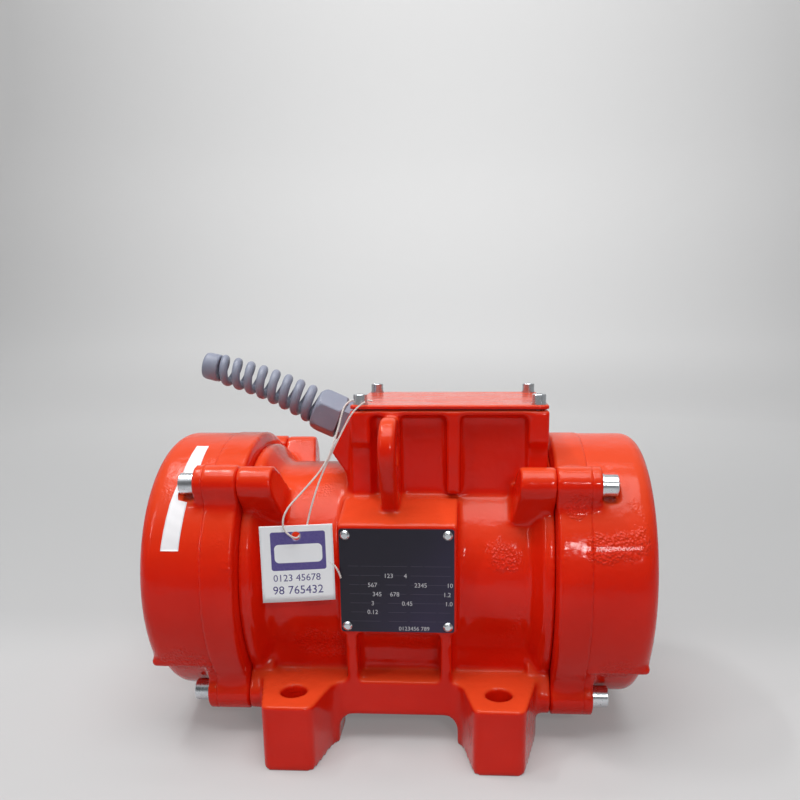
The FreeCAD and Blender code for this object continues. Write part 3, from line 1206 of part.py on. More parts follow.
def tube(route, radius):
    """Round tube along straight runs joined by tangent arcs, each as large as its two runs allow."""
    points = [Vector(*p) for p in route]
    edges = []
    at = points[0]
    length = 0
    for before, here, after in zip(points, points[1:], points[2:]):
        back = before - here
        ahead = after - here
        half_turn = (math.pi - back.getAngle(ahead)) / 2
        reach = 0.45 * min(back.Length, ahead.Length)
        bend = reach / math.tan(half_turn)
        start = here + back.normalize() * reach
        end = here + ahead.normalize() * reach
        inwards = (back + ahead).normalize()
        middle = here + inwards * (bend / math.cos(half_turn) - bend)
        edges.append(Part.LineSegment(at, start).toShape())
        edges.append(Part.Arc(start, middle, end).toShape())
        length += edges[-1].Length + edges[-2].Length
        at = end
        print(f"  bend radius {bend:.1f} mm, turn {math.degrees(2 * half_turn):.0f} degrees")
    edges.append(Part.LineSegment(at, points[-1]).toShape())
    length += edges[-1].Length
    section = Part.Wire(Part.makeCircle(radius, points[0], points[1] - points[0]))
    body = Part.Wire(edges).makePipeShell([section], True, False)
    body = Part.Solid(body) if body.ShapeType == "Shell" else body
    print(f"  length {length:.1f} mm, volume {body.Volume:.2f} for {math.pi * radius ** 2 * length:.2f} mm3")
    return body


# ---- all nodes ----------------------------------------------------------------------------------
def build():
    os.makedirs("parts", exist_ok=True)
    body, pads, box, box_end, eye = housing()
    save("motor_body", body)
    save("foot_pads", *pads.Solids)
    save("terminal_box", box)
    save("terminal_box_end", box_end)
    save("lifting_eye", eye)
    save("stator_core", stator_core())
    save("stator_windings", stator_windings())
    outer, inner = bearing_rings()
    balls = [Part.makeSphere(BALL_R, spot) for spot in ball_spots()]
    screws, washers = cover_fasteners()
    right_hand = {
        "bearing_flange": [bearing_flange()],
        "bearing_outer_ring": [outer],
        "bearing_inner_ring": [inner],
        "bearing_balls": balls,
        "ball_cage": [ball_cage()],
        "bearing_cap": [bearing_cap()],
        "bearing_cap_screws": cap_screws(),
        "cover": [cover()],
        "cover_seal": [cover_seal()],
        "cover_screws": screws,
        "cover_washers": washers,
        "fixed_weight": [fixed_weight()],
        "adjustable_weight": [adjustable_weight()],
        "clamp_screw": [clamp_screw()],
        "shaft_key": [key_block(0)],
        "circlip": [circlip()],
    }
    for name, solids in right_hand.items():
        save(name + "_right", *solids)
        save(name + "_left", *[other_end(solid) for solid in solids])
    save("rotor_shaft", rotor_shaft())
    save("rotor_core", rotor_core())
    save("rotor_end_rings", *rotor_end_rings())
    screws, washers = lid_fasteners()
    save("terminal_box_lid", terminal_box_lid())
    save("lid_gasket", lid_gasket())
    save("lid_screws", *screws)
    save("lid_washers", *washers)
    save("terminal_block", terminal_block())
    save("terminal_studs", *terminal_studs())
    save("terminal_nuts", *terminal_nuts())
    save("earth_screw", earth_screw())
    save("nameplate", nameplate())
    save("nameplate_screws", *nameplate_screws())
    save("gland_body", gland_body())
    save("gland_seal", gland_seal())
    save("gland_nut", gland_nut())
    save("hang_tag", hang_tag())
    save("tag_string", tube(STRING_ROUTE, STRING_R))
    save("string_tail", tube(TAIL_ROUTE, STRING_R))


build()
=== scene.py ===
# %% [markdown]
# # A vibration motor
# This motor shakes feeders, chutes and screens. A squirrel-cage motor in a heavy casting turns two
# pairs of eccentric weights, which are hidden under the round covers at its ends. The machine's pieces
# come from an engineering model, at their real size and place, in metres. That model is the fixed frame
# of this lesson. Here it gets its finishes, and the pieces whose look an engineering model can't give
# are made again: the thick-painted castings, the sagging spiral of the cable gland, the string and the
# card.

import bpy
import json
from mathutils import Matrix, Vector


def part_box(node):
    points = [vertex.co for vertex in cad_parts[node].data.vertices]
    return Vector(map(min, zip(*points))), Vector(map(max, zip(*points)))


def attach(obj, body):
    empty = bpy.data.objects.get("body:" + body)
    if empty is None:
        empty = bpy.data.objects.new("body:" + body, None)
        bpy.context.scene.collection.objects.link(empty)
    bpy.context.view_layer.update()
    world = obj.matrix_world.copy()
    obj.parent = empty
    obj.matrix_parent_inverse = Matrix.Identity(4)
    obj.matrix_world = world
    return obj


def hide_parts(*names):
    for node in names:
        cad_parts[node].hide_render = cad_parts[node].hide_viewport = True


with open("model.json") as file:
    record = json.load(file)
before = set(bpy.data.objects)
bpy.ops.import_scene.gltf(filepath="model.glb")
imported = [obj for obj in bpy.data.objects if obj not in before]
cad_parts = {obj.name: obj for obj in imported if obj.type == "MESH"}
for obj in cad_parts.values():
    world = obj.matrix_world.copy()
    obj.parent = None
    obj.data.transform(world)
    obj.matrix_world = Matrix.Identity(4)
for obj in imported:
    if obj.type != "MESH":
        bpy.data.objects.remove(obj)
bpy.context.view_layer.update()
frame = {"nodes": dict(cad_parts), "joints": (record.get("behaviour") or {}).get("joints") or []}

# %% Modules
import json
import math

import bmesh
import bpy
import numpy as np
from mathutils import Matrix, Vector

MM = 0.001
scene = bpy.context.scene
scene.view_settings.view_transform = "Standard"

# %% [markdown]
# ## The camera
# A camera is a place, three turns and a lens. Yaw turns it about the vertical, pitch tips it down, and
# roll tilts the horizon. Its three axes are worked out as vectors, because they can then be written
# straight into the camera's matrix, with no guessing about the order of the turns. The small shift
# moves the picture on the film without turning the camera, as a view camera does, so upright edges stay
# upright.

# %% Camera
CAMERA_PLACE = Vector((42.0, -480.7, 247.2)) * MM
CAMERA_YAW = 0.0535
CAMERA_PITCH = 0.2281
CAMERA_ROLL = 0.006
CAMERA_LENS = 33.48
CAMERA_SHIFT = (-0.0375, 0.125)


def camera_axes(yaw, pitch, roll):
    """Right, up and back of a camera: first yaw and pitch, then roll about the line of sight."""
    level = Vector((math.cos(yaw), math.sin(yaw), 0.0))
    ahead = Vector((-level.y * math.cos(pitch), level.x * math.cos(pitch), -math.sin(pitch)))
    down = ahead.cross(level)
    right = level * math.cos(roll) + down * math.sin(roll)
    up = level * math.sin(roll) - down * math.cos(roll)
    return right, up, -ahead


camera = bpy.data.objects.new("camera", bpy.data.cameras.new("camera"))
scene.collection.objects.link(camera)
camera.data.lens = CAMERA_LENS
camera.data.shift_x, camera.data.shift_y = CAMERA_SHIFT
camera.data.clip_start = 0.01
turn = Matrix(camera_axes(CAMERA_YAW, CAMERA_PITCH, CAMERA_ROLL)).transposed()
camera.matrix_world = Matrix.Translation(CAMERA_PLACE) @ turn.to_4x4()
scene.camera = camera
print("camera", [round(value, 4) for value in CAMERA_PLACE], "lens", CAMERA_LENS)

# %% [markdown]
# ## Surfaces from arrays
# Most new pieces are grids: a shape is a function of two parameters, worked out for the whole grid at
# once. The helper below turns such a grid of points into a mesh. A grid can be closed round one
# direction, like a tube, or round both, like a ring, and an open end can get a cap.

# %% Grid helper


def add_mesh(name, points, faces, smooth=True):
    """An object from an array of points and a list or array of faces."""
    mesh = bpy.data.meshes.new(name)
    mesh.from_pydata(np.asarray(points).reshape(-1, 3).tolist(), [], [list(face) for face in faces])
    mesh.polygons.foreach_set("use_smooth", np.full(len(mesh.polygons), smooth))
    mesh.update()
    made = bpy.data.objects.new(name, mesh)
    scene.collection.objects.link(made)
    return made


def grid_faces(rows, columns, round_rows=False, round_columns=False):
    """Quads between neighbours of a grid. A round direction joins its last line to its first."""
    row = np.arange(rows if round_rows else rows - 1)[:, None]
    column = np.arange(columns if round_columns else columns - 1)[None, :]
    next_row = (row + 1) % rows
    next_column = (column + 1) % columns
    corners = [row * columns + column, row * columns + next_column,
               next_row * columns + next_column, next_row * columns + column]
    return np.stack(np.broadcast_arrays(*corners), axis=-1).reshape(-1, 4)


def outward(made):
    """Turns all faces of a closed mesh outwards, after doubles are merged."""
    work = bmesh.new()
    work.from_mesh(made.data)
    bmesh.ops.remove_doubles(work, verts=work.verts, dist=1e-7)
    bmesh.ops.recalc_face_normals(work, faces=work.faces)
    work.to_mesh(made.data)
    work.free()
    made.data.update()
    return made


def smooth_line(route, count_each=12):
    """Points along the spline that has the route as its control points, as Blender itself gives them."""
    curve = nurbs_curve("line", route)
    curve.data.resolution_u = count_each
    mesh = bpy.data.meshes.new_from_object(curve)
    points = np.empty(len(mesh.vertices) * 3)
    mesh.vertices.foreach_get("co", points)
    bpy.data.objects.remove(curve)
    return points.reshape(-1, 3)


def nurbs_curve(name, route):
    """An open third-order spline whose control points are the route."""
    data = bpy.data.curves.new(name, "CURVE")
    data.dimensions = "3D"
    spline = data.splines.new("NURBS")
    spline.points.add(len(route) - 1)
    for point, place in zip(spline.points, route):
        point.co = (*place, 1.0)
    spline.order_u = 3
    spline.use_endpoint_u = True
    made = bpy.data.objects.new(name, data)
    scene.collection.objects.link(made)
    return made


def line_length(points):
    """Sum of the steps along a line of points."""
    return float(np.linalg.norm(np.diff(points, axis=0), axis=1).sum())


print("grid of 3 by 4 has", len(grid_faces(3, 4)), "faces")

# %% [markdown]
# ## Shader sums
# A material is a small sum over fields: how rough, how red, how high at each point of the surface.
# Written with nodes, such a sum needs one Math node for every plus sign. The class below wraps a
# socket, so that the sum can be written in Python, and each operator adds its own node.

# %% Fields


class Field:
    """A value that changes over a surface. Sums of fields and plain numbers add Math nodes."""

    def __init__(self, recipe, socket):
        self.recipe = recipe
        self.socket = socket

    def __add__(self, other):
        return self.recipe.math("ADD", self, other)

    def __sub__(self, other):
        return self.recipe.math("SUBTRACT", self, other)

    def __rsub__(self, other):
        return self.recipe.math("SUBTRACT", other, self)

    def __mul__(self, other):
        return self.recipe.math("MULTIPLY", self, other)

    def __truediv__(self, other):
        return self.recipe.math("DIVIDE", self, other)

    __radd__ = __add__
    __rmul__ = __mul__

    def near(self, value, reach):
        """1 where the field is within reach of a value, else 0."""
        return self.recipe.math("COMPARE", self, value, reach)

    def step(self, low, high):
        """Rises smoothly from 0 at low to 1 at high."""
        return self.recipe.node("MapRange", {0: self, 1: low, 2: high}, interpolation_type="SMOOTHSTEP")


# %% [markdown]
# A recipe holds the nodes of one material. Its `node` method adds any node: the settings are set first,
# then the sockets get their values or links. Patterns read Object coordinates, which are metres on the
# real object, so a scale of 400 means features of about two and a half millimetres.

# %% Recipes


class Recipe:
    """The nodes of one material, from its coordinates to its shader."""

    def __init__(self, name):
        self.material = bpy.data.materials.new(name)
        self.material.use_nodes = True
        self.tree = self.material.node_tree
        self.tree.nodes.clear()
        self.place = self.node("TexCoord", output="Object")

    def node(self, kind, inputs=None, output=0, **settings):
        """Adds a node: first its settings, then values or links of its sockets."""
        made = self.tree.nodes.new("ShaderNode" + kind)
        for name, value in settings.items():
            setattr(made, name, value)
        for name, value in (inputs or {}).items():
            if isinstance(value, Field):
                self.tree.links.new(value.socket, made.inputs[name])
            else:
                made.inputs[name].default_value = value
        return Field(self, made.outputs[output])

    def math(self, operation, *terms):
        return self.node("Math", dict(enumerate(terms)), operation=operation)

    def mix(self, share, first, second):
        """Colour between two others, each a field or (red, green, blue)."""
        ends = [(*colour, 1.0) if isinstance(colour, tuple) else colour for colour in (first, second)]
        return self.node("Mix", {0: share, 6: ends[0], 7: ends[1]}, output=2, data_type="RGBA")

    def noise(self, scale, detail=2.0, rough=0.5, where=None, warp=0.0):
        """Cloudy field from 0 to 1, with features about 1 / scale metres across."""
        return self.node("TexNoise", {"Vector": where or self.place, "Scale": scale, "Detail": detail,
                                      "Roughness": rough, "Distortion": warp})

    def stretched(self, x, y, z):
        """Coordinates with each axis scaled, for grain that runs one way."""
        return self.node("Mapping", {"Vector": self.place, "Scale": (x, y, z)})

    def axis(self, index):
        """One coordinate, in metres."""
        return self.node("SeparateXYZ", {0: self.place}, output=index)

    def bump(self, height, distance, strength=1.0):
        """Normals of a relief whose height field is worth `distance` metres."""
        return self.node("Bump", {"Height": height, "Distance": distance, "Strength": strength})

    def finish(self, changing, **fixed):
        """Ends the recipe in a Principled shader: fields on the first sockets, constants on the others."""
        shader = self.tree.nodes.new("ShaderNodeBsdfPrincipled")
        for name, value in fixed.items():
            shader.inputs[name.replace("_", " ")].default_value = value
        for name, value in changing.items():
            self.tree.links.new(value.socket, shader.inputs[name])
        end = self.tree.nodes.new("ShaderNodeOutputMaterial")
        self.tree.links.new(shader.outputs[0], end.inputs[0])
        return self.material


def dress(piece, material):
    """Gives a whole piece one material."""
    piece.data.materials.clear()
    piece.data.materials.append(material)


# %% [markdown]
# ## Cords first
# The card hangs on a thin cotton string that goes round a lid screw and through the card's hole. The
# string is a spline with a few control points: it is limp, so it falls almost straight
# from the lid's edge and turns sharply only where it goes round something. Its loose end is a second,
# short piece.

# %% String routes
STRING_RADIUS = 0.6 * MM
STRING_ROUTE = [
    (-0.0156, -0.0400, 0.2048),
    (-0.0186, -0.0344, 0.2049),
    (-0.0260, -0.0348, 0.2049),
    (-0.0294, -0.0415, 0.2048),
    (-0.0314, -0.0506, 0.2015),
    (-0.0340, -0.0560, 0.1890),
    (-0.0396, -0.0660, 0.1710),
    (-0.0515, -0.0760, 0.1575),
    (-0.0605, -0.0830, 0.1480),
    (-0.0620, -0.0854, 0.1385),
    (-0.0563, -0.0842, 0.1324),
    (-0.0540, -0.0784, 0.1314),
    (-0.0498, -0.0776, 0.1365),
    (-0.0476, -0.0766, 0.1465),
    (-0.0436, -0.0706, 0.1610),
    (-0.0386, -0.0622, 0.1740),
    (-0.0310, -0.0546, 0.1900),
    (-0.0246, -0.0516, 0.2016),
    (-0.0188, -0.0476, 0.2050),
]
TAIL_ROUTE = [
    (-0.0518, -0.0778, 0.1306),
    (-0.0484, -0.0782, 0.1252),
    (-0.0428, -0.0785, 0.1218),
    (-0.0376, -0.0786, 0.1176),
    (-0.0328, -0.0785, 0.1136),
    (-0.0310, -0.0784, 0.1074),
]

# %% [markdown]
# A twisted string is two strands that wind round each other. Each strand is a tube round a helix, and
# the helix follows the smooth line of the route. At every point of the line two directions across it
# are needed. They are carried along by taking away from the last direction whatever points along the
# line, so the strands don't jump.

# %% Twisted string


def side_directions(line):
    """Unit tangents of a line and two unit directions across it, carried along without sudden turns."""
    tangent = np.gradient(line, axis=0)
    tangent /= np.linalg.norm(tangent, axis=1)[:, None]
    across = np.empty_like(tangent)
    last = np.cross(tangent[0], (0.0, 0.0, 1.0)) + (1e-4, 2e-4, 0.0)
    for index, along in enumerate(tangent):
        last = last - along * (last @ along)
        last /= np.linalg.norm(last)
        across[index] = last
    return tangent, across, np.cross(tangent, across)


def tube(name, line, radius, sides=8):
    """Tube round a line: a circle of points across each point of the line, and a cap at both ends.
    The radius is one number, or one for each point of the line."""
    tangent, across, beside = side_directions(line)
    angle = np.linspace(0, 2 * math.pi, sides, endpoint=False)[None, :, None]
    size = np.broadcast_to(radius, len(line))[:, None, None]
    ring = np.cos(angle) * across[:, None] + np.sin(angle) * beside[:, None]
    points = (line[:, None] + size * ring).reshape(-1, 3)
    faces = grid_faces(len(line), sides, round_columns=True).tolist()
    faces.append(list(range(sides)))
    faces.append([len(points) - 1 - k for k in range(sides)])
    return outward(add_mesh(name, points, faces))


def twisted(name, route, radius, lay_length):
    """Two strands round a smooth line. Each point of a strand stands half a radius off the line, at an
    angle that grows by one turn per lay length."""
    line = smooth_line(route)
    steps = np.linalg.norm(np.diff(line, axis=0), axis=1)
    run = np.concatenate([[0.0], np.cumsum(steps)])
    even = np.linspace(0, run[-1], int(run[-1] / lay_length * 8))
    fine = np.stack([np.interp(even, run, line[:, k]) for k in range(3)], axis=1)
    tangent, across, beside = side_directions(fine)
    strands = []
    for start in (0.0, math.pi):
        angle = (start + 2 * math.pi * even / lay_length)[:, None]
        centre = fine + radius * 0.5 * (np.cos(angle) * across + np.sin(angle) * beside)
        strands.append(tube(name, centre, radius * 0.55, sides=6))
    return join(name, strands), fine


def join(name, parts):
    """One object from several."""
    meshes = [part.data for part in parts]
    work = bmesh.new()
    for mesh in meshes:
        work.from_mesh(mesh)
    whole = bpy.data.meshes.new(name)
    work.to_mesh(whole)
    work.free()
    whole.polygons.foreach_set("use_smooth", np.full(len(whole.polygons), True))
    for part in parts:
        bpy.data.objects.remove(part)
    made = bpy.data.objects.new(name, whole)
    scene.collection.objects.link(made)
    return made


STRING_LAY = 2.6 * MM
string, string_line = twisted("string", STRING_ROUTE, STRING_RADIUS, STRING_LAY)
tail, tail_line = twisted("string_end", TAIL_ROUTE, STRING_RADIUS, STRING_LAY)
for cord, node in ((string, "tag_string"), (tail, "string_tail")):
    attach(cord, "housing")
    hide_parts(node)
lengths = [round(line_length(line) * 1000) for line in (string_line, tail_line)]
print("string and loose end, mm:", lengths)

# %% [markdown]
# ## The studio
# A product is easiest to read on a plain pale floor that rises into a wall with no edge, as in a
# product studio. Here the whole room is one surface turned about the vertical: a flat disc, a quarter
# circle and a wall. From every side the machine then has the same quiet ground behind it. The backdrop
# also shines a little, but only for the camera and for reflections, so that it stays pale without
# paling the paint. The Light Path node tells rays apart.

# %% Floor and wall
FLOOR_REACH = 1.7
COVE_RADIUS = 0.9
WALL_TOP = 2.6
STUDIO_SIDES = 96


def studio_profile(count):
    """(radius, height) along the room: out on the floor, up a quarter circle, then up the wall."""
    flat = np.stack([np.linspace(0.02, FLOOR_REACH, count), np.zeros(count)], axis=1)
    angle = np.linspace(0, math.pi / 2, count)[1:]
    cove = np.stack([FLOOR_REACH + COVE_RADIUS * np.sin(angle),
                     COVE_RADIUS * (1 - np.cos(angle))], axis=1)
    top = np.array([[FLOOR_REACH + COVE_RADIUS, WALL_TOP]])
    return np.concatenate([flat, cove, top])


def turned_grid(profile, sides):
    """Points of a profile of (radius, height) turned about the vertical."""
    angle = np.linspace(0, 2 * math.pi, sides, endpoint=False)[None, :]
    radius = profile[:, :1]
    height = np.broadcast_to(profile[:, 1:], (len(profile), sides))
    return np.stack([radius * np.cos(angle), radius * np.sin(angle), height], axis=-1)


profile = studio_profile(24)
faces = grid_faces(len(profile), STUDIO_SIDES, round_columns=True).tolist()
faces.append(list(range(STUDIO_SIDES))[::-1])
studio = add_mesh("studio", turned_grid(profile, STUDIO_SIDES), faces)
print("studio floor reaches", FLOOR_REACH, "m, its wall stands", FLOOR_REACH + COVE_RADIUS, "m away")

# %% Backdrop paint
FLOOR_TONES = ((0.370, 0.372, 0.375), (0.395, 0.397, 0.400))
WALL_TONES = ((0.24, 0.24, 0.24), (0.84, 0.84, 0.84))


def backdrop_glow(r):
    """Light of the backdrop itself: even near the object, more far behind it, less at the sides and top."""
    across, back, tall = (r.axis(index) for index in range(3))
    squared = across * across
    near = 0.175 - back.step(0.02, 0.14) * 0.069
    far = back.step(0.14, FLOOR_REACH) * (0.258 - across * 0.030 - squared * 0.090)
    wall = tall.step(0.0, 0.2) * (0.155 - squared * 0.057) - tall * 0.439 + tall * tall * 0.192
    rays = [r.node("LightPath", output="Is %s Ray" % kind) for kind in ("Camera", "Glossy", "Transmission")]
    return (near + far + wall) * back.step(-1.4, -0.3) * (rays[0] + rays[1] + rays[2])


def studio_paint():
    """Pale matt paint: cloudy on the floor, darker on the wall in front of the object than behind it."""
    r = Recipe("studio_paint")
    floor_tone = r.mix(r.noise(1.3, 2.0), *FLOOR_TONES)
    wall_tone = r.mix(r.axis(1).step(-1.6, 1.2), *WALL_TONES)
    glow = r.mix(backdrop_glow(r), (0.0, 0.0, 0.0), (1.0, 1.0, 1.0))
    return r.finish({"Base Color": r.mix(r.axis(2).step(0.02, COVE_RADIUS), floor_tone, wall_tone),
                     "Emission Color": glow}, Roughness=0.85, Emission_Strength=1.0)


dress(studio, studio_paint())
print("backdrop:", studio.data.materials[0].name)

# %% [markdown]
# Five soft lamps light the room. A wide one above gives the light on every upper face. A short tube, a
# tall lamp at the front left and a small one at the right are there for their reflections along the
# edges of the glossy paint. The last one lights the wall. A dim even sky fills the shadows.

# %% Lamps


def soft_lamp(name, place, aim, size, watts):
    """A rectangular lamp at a place, turned to face a point."""
    light = bpy.data.lights.new(name, "AREA")
    light.shape = "RECTANGLE"
    light.size, light.size_y = size
    light.energy = watts
    made = bpy.data.objects.new(name, light)
    scene.collection.objects.link(made)
    away = Vector(place) - Vector(aim)
    made.matrix_world = Matrix.Translation(place) @ away.to_track_quat("Z", "Y").to_matrix().to_4x4()
    return made


MIDDLE = (0.0, 0.0, 0.10)
SKY_STRENGTH = 0.40
LAMPS = [
    ("lamp_above", (0.0, -0.35, 1.6), MIDDLE, (1.3, 0.9), 18.0),
    ("lamp_tube", (-0.55, 0.09, 1.38), (-0.11, -0.05, 0.16), (0.30, 0.05), 3.5),
    ("lamp_left", (-1.1, -0.9, 1.1), MIDDLE, (0.07, 0.7), 2.6),
    ("lamp_right", (0.35, -1.03, 0.66), MIDDLE, (0.16, 0.07), 2.0),
    ("lamp_wall", (0.0, 0.6, 2.3), (0.0, FLOOR_REACH + COVE_RADIUS, 0.9), (1.2, 0.4), 12.0),
]
for lamp in LAMPS:
    soft_lamp(*lamp)
sky = bpy.data.worlds.new("sky")
sky.use_nodes = True
background = sky.node_tree.nodes["Background"]
background.inputs["Color"].default_value = (1.0, 1.0, 1.0, 1.0)
background.inputs["Strength"].default_value = SKY_STRENGTH
scene.world = sky
print("lamps:", [light.name for light in bpy.data.lights])

# %% [markdown]
# ## Thick red paint
# The castings are sand cast and sprayed with a thick gloss enamel. Close up three things show: a fine
# ripple in the film, slow waves of the cast surface under it, and here and there a patch where the
# sand's grain comes through. The colour is a little deeper in inner corners, which is painted shade,
# a little lighter on edges, partly as wear and partly as a painted highlight, and more orange on faces
# that look up, which is painted light from above. Geometry's Pointiness knows edges from corners, and
# its Normal knows what looks up.

# %% Enamel
LIT_TOP_ORANGE = (0.71, 0.062, 0.016)
EDGE_WEAR_AND_HIGHLIGHT = (0.78, 0.065, 0.018)
SAND_SPOTS = [
    ((0.117, -0.081, 0.127), 0.010), ((0.128, -0.079, 0.128), 0.010), ((0.137, -0.077, 0.130), 0.009),
    ((-0.052, -0.060, 0.060), 0.014), ((-0.036, -0.060, 0.058), 0.012), ((0.104, -0.067, 0.150), 0.010),
    ((0.062, -0.066, 0.118), 0.012), ((-0.128, -0.074, 0.052), 0.018), ((0.130, -0.070, 0.052), 0.016),
    ((-0.118, 0.070, 0.128), 0.026), ((0.030, 0.060, 0.112), 0.024), ((0.126, 0.040, 0.160), 0.022),
]


def enamel(name, bright, deep):
    """Glossy enamel on a rough casting. A sand spot is a place and how far its grain reaches, in metres."""
    r = Recipe(name)
    edge = r.node("NewGeometry", output="Pointiness")
    waves = r.noise(38, 3.0)
    ripple = r.noise(330, 2.0)
    grain = r.node("TexVoronoi", {"Vector": r.place, "Scale": 640.0, "Randomness": 1.0})
    patch = r.noise(26, 2.0, warp=0.6).step(0.60, 0.72) * 0.4
    frayed = (r.noise(170, 3.0) - 0.5) * 0.014
    for place, reach in SAND_SPOTS:
        away = r.node("VectorMath", {0: r.place, 1: place}, output=1, operation="DISTANCE") + frayed
        patch = r.math("MAXIMUM", patch, away.step(reach, reach * 0.55))
    blot = r.noise(14, 3.0, 0.6).step(0.30, 0.72)
    colour = r.mix(blot * 0.35, bright, deep)
    # Painted shade: inner corners, where Pointiness is low, are mixed towards the deep red.
    colour = r.mix(edge.step(0.47, 0.40) * 0.55, colour, deep)
    # Painted light: faces that look up are mixed towards a brighter orange, as if lit from above.
    normal = r.node("NewGeometry", output="Normal")
    upward = r.node("SeparateXYZ", {0: normal}, output=2).step(0.1, 0.9)
    colour = r.mix(upward, colour, LIT_TOP_ORANGE)
    # Outer edges, where Pointiness is high, are lighter: partly wear, partly a painted highlight.
    colour = r.mix(edge.step(0.54, 0.62) * 0.35, colour, EDGE_WEAR_AND_HIGHLIGHT)
    height = waves * 0.9 + ripple * 0.08 + patch * grain * 0.5
    rough = 0.11 + blot * 0.08 + patch * 0.08 + upward * 0.06
    coat = 0.20 - blot * 0.1 - upward * 0.10
    return r.finish({"Base Color": colour, "Roughness": rough, "Coat Weight": coat,
                     "Normal": r.bump(height, 1.6 * MM, 0.85)}, Coat_Roughness=0.05, IOR=1.5,
                    Specular_IOR_Level=0.18)


paint = enamel("red_enamel", bright=(0.78, 0.015, 0.003), deep=(0.57, 0.006, 0.001))
print("made", paint.name)

# %% [markdown]
# ## Metals, rubber and plastic
# Every metal shares one recipe: a base colour that a stretched noise darkens along the direction in
# which the piece was turned, rolled or drawn, and a roughness that follows the same grain.

# %% Metals
SHAFT_Z = frame["joints"][0]["pos_m"][2]


def metal(name, colour, dark, rough, stretch, spots=0.0, relief=0.05):
    """Bare or plated metal. `stretch` scales the axes, so that grain runs along the small one."""
    r = Recipe(name)
    grain = r.noise(900, 3.0, where=r.stretched(*stretch))
    stain = r.noise(60, 4.0, 0.6).step(0.42, 0.75)
    specks = r.noise(420, 2.0).step(0.62, 0.72)
    shade = grain * 0.35 + stain * 0.45 + specks * spots
    return r.finish({"Base Color": r.mix(shade, colour, dark), "Roughness": rough + shade * 0.22,
                     "Normal": r.bump(grain + specks * spots, relief * MM, 0.6)}, Metallic=1.0)


def ring_metal(name, colour, dark, rough):
    """Metal turned about the shaft: the grain is rings, made from the distance to the shaft's axis."""
    r = Recipe(name)
    y = r.axis(1)
    z = r.axis(2) - SHAFT_Z
    distance = r.math("SQRT", y * y + z * z)
    rings = r.math("SINE", (distance + r.axis(0)) * 5200)
    stain = r.noise(70, 4.0, 0.6).step(0.40, 0.75)
    shade = rings * 0.06 + stain * 0.5 + 0.06
    return r.finish({"Base Color": r.mix(shade, colour, dark), "Roughness": rough + stain * 0.2,
                     "Normal": r.bump(rings, 0.02 * MM, 0.4)}, Metallic=1.0)


EVEN = (1.0, 1.0, 1.0)
zinc = metal("bright_zinc", (0.74, 0.77, 0.80), (0.50, 0.53, 0.57), 0.20, (1.0, 1.0, 0.2), spots=0.35)
steel = ring_metal("turned_steel", (0.50, 0.50, 0.51), (0.24, 0.22, 0.20), 0.26)
ground = ring_metal("ground_steel", (0.66, 0.67, 0.69), (0.50, 0.51, 0.53), 0.12)
sheets = metal("lamination_steel", (0.36, 0.36, 0.38), (0.17, 0.17, 0.20), 0.36, (6.0, 0.2, 0.2),
               relief=0.15)
brass = metal("brass", (0.76, 0.56, 0.24), (0.50, 0.34, 0.14), 0.24, EVEN)
aluminium = metal("cast_aluminium", (0.74, 0.74, 0.76), (0.50, 0.50, 0.53), 0.38, EVEN, spots=0.4)
print("metals:", zinc.name, steel.name, ground.name, sheets.name, brass.name, aluminium.name)

# %% [markdown]
# The windings are hundreds of varnished wires laid side by side. A wave pattern round the shaft stands
# for them, because every single wire would cost more triangles than the whole motor.

# %% Windings, rubber and plastics


def wire_winding():
    """Varnished copper wires: bands along the shaft and a second set across it, bent by noise."""
    r = Recipe("varnished_copper")
    bend = r.noise(45, 2.0)
    lay = r.math("SINE", (r.axis(0) + bend * 0.006) * 4200)
    cross = r.math("SINE", (r.axis(1) + r.axis(2) + bend * 0.010) * 3600)
    wires = (lay + cross * 0.5) * 0.33 + 0.5
    tone = r.mix(wires, (0.20, 0.055, 0.015), (0.62, 0.24, 0.075))
    return r.finish({"Base Color": tone, "Roughness": 0.34 - wires * 0.1,
                     "Normal": r.bump(wires, 0.5 * MM, 0.7)},
                    Metallic=0.65, Coat_Weight=0.5, Coat_Roughness=0.15)


def moulded(name, colour, worn, rough):
    """Moulded plastic or rubber: a fine spark-eroded grain, and faint handling marks."""
    r = Recipe(name)
    grain = r.noise(1500, 2.0)
    haze = r.noise(48, 4.0, 0.6).step(0.35, 0.75)
    scuffs = r.noise(240, 5.0, 0.7, where=r.stretched(1.0, 0.35, 1.0)).step(0.60, 0.70)
    tone = r.mix(haze * 0.35 + scuffs * 0.35, colour, worn)
    return r.finish({"Base Color": tone, "Roughness": rough + haze * 0.12,
                     "Normal": r.bump(grain, 0.08 * MM, 0.5)}, IOR=1.46)


copper = wire_winding()
rubber = moulded("black_rubber", (0.020, 0.020, 0.021), (0.06, 0.06, 0.062), 0.62)
nylon = moulded("grey_nylon", (0.235, 0.255, 0.335), (0.33, 0.35, 0.43), 0.36)
bakelite = moulded("moulded_black", (0.018, 0.017, 0.019), (0.05, 0.05, 0.05), 0.42)
print("plastics:", rubber.name, nylon.name, bakelite.name)

# %% [markdown]
# ## The model's own pieces
# Pieces whose shape is right as it is keep the engineering model's mesh and only get a material. A table
# says which material each piece has. What comes once for each end of the shaft is named once, without its
# side. The print shows if a piece was missed.

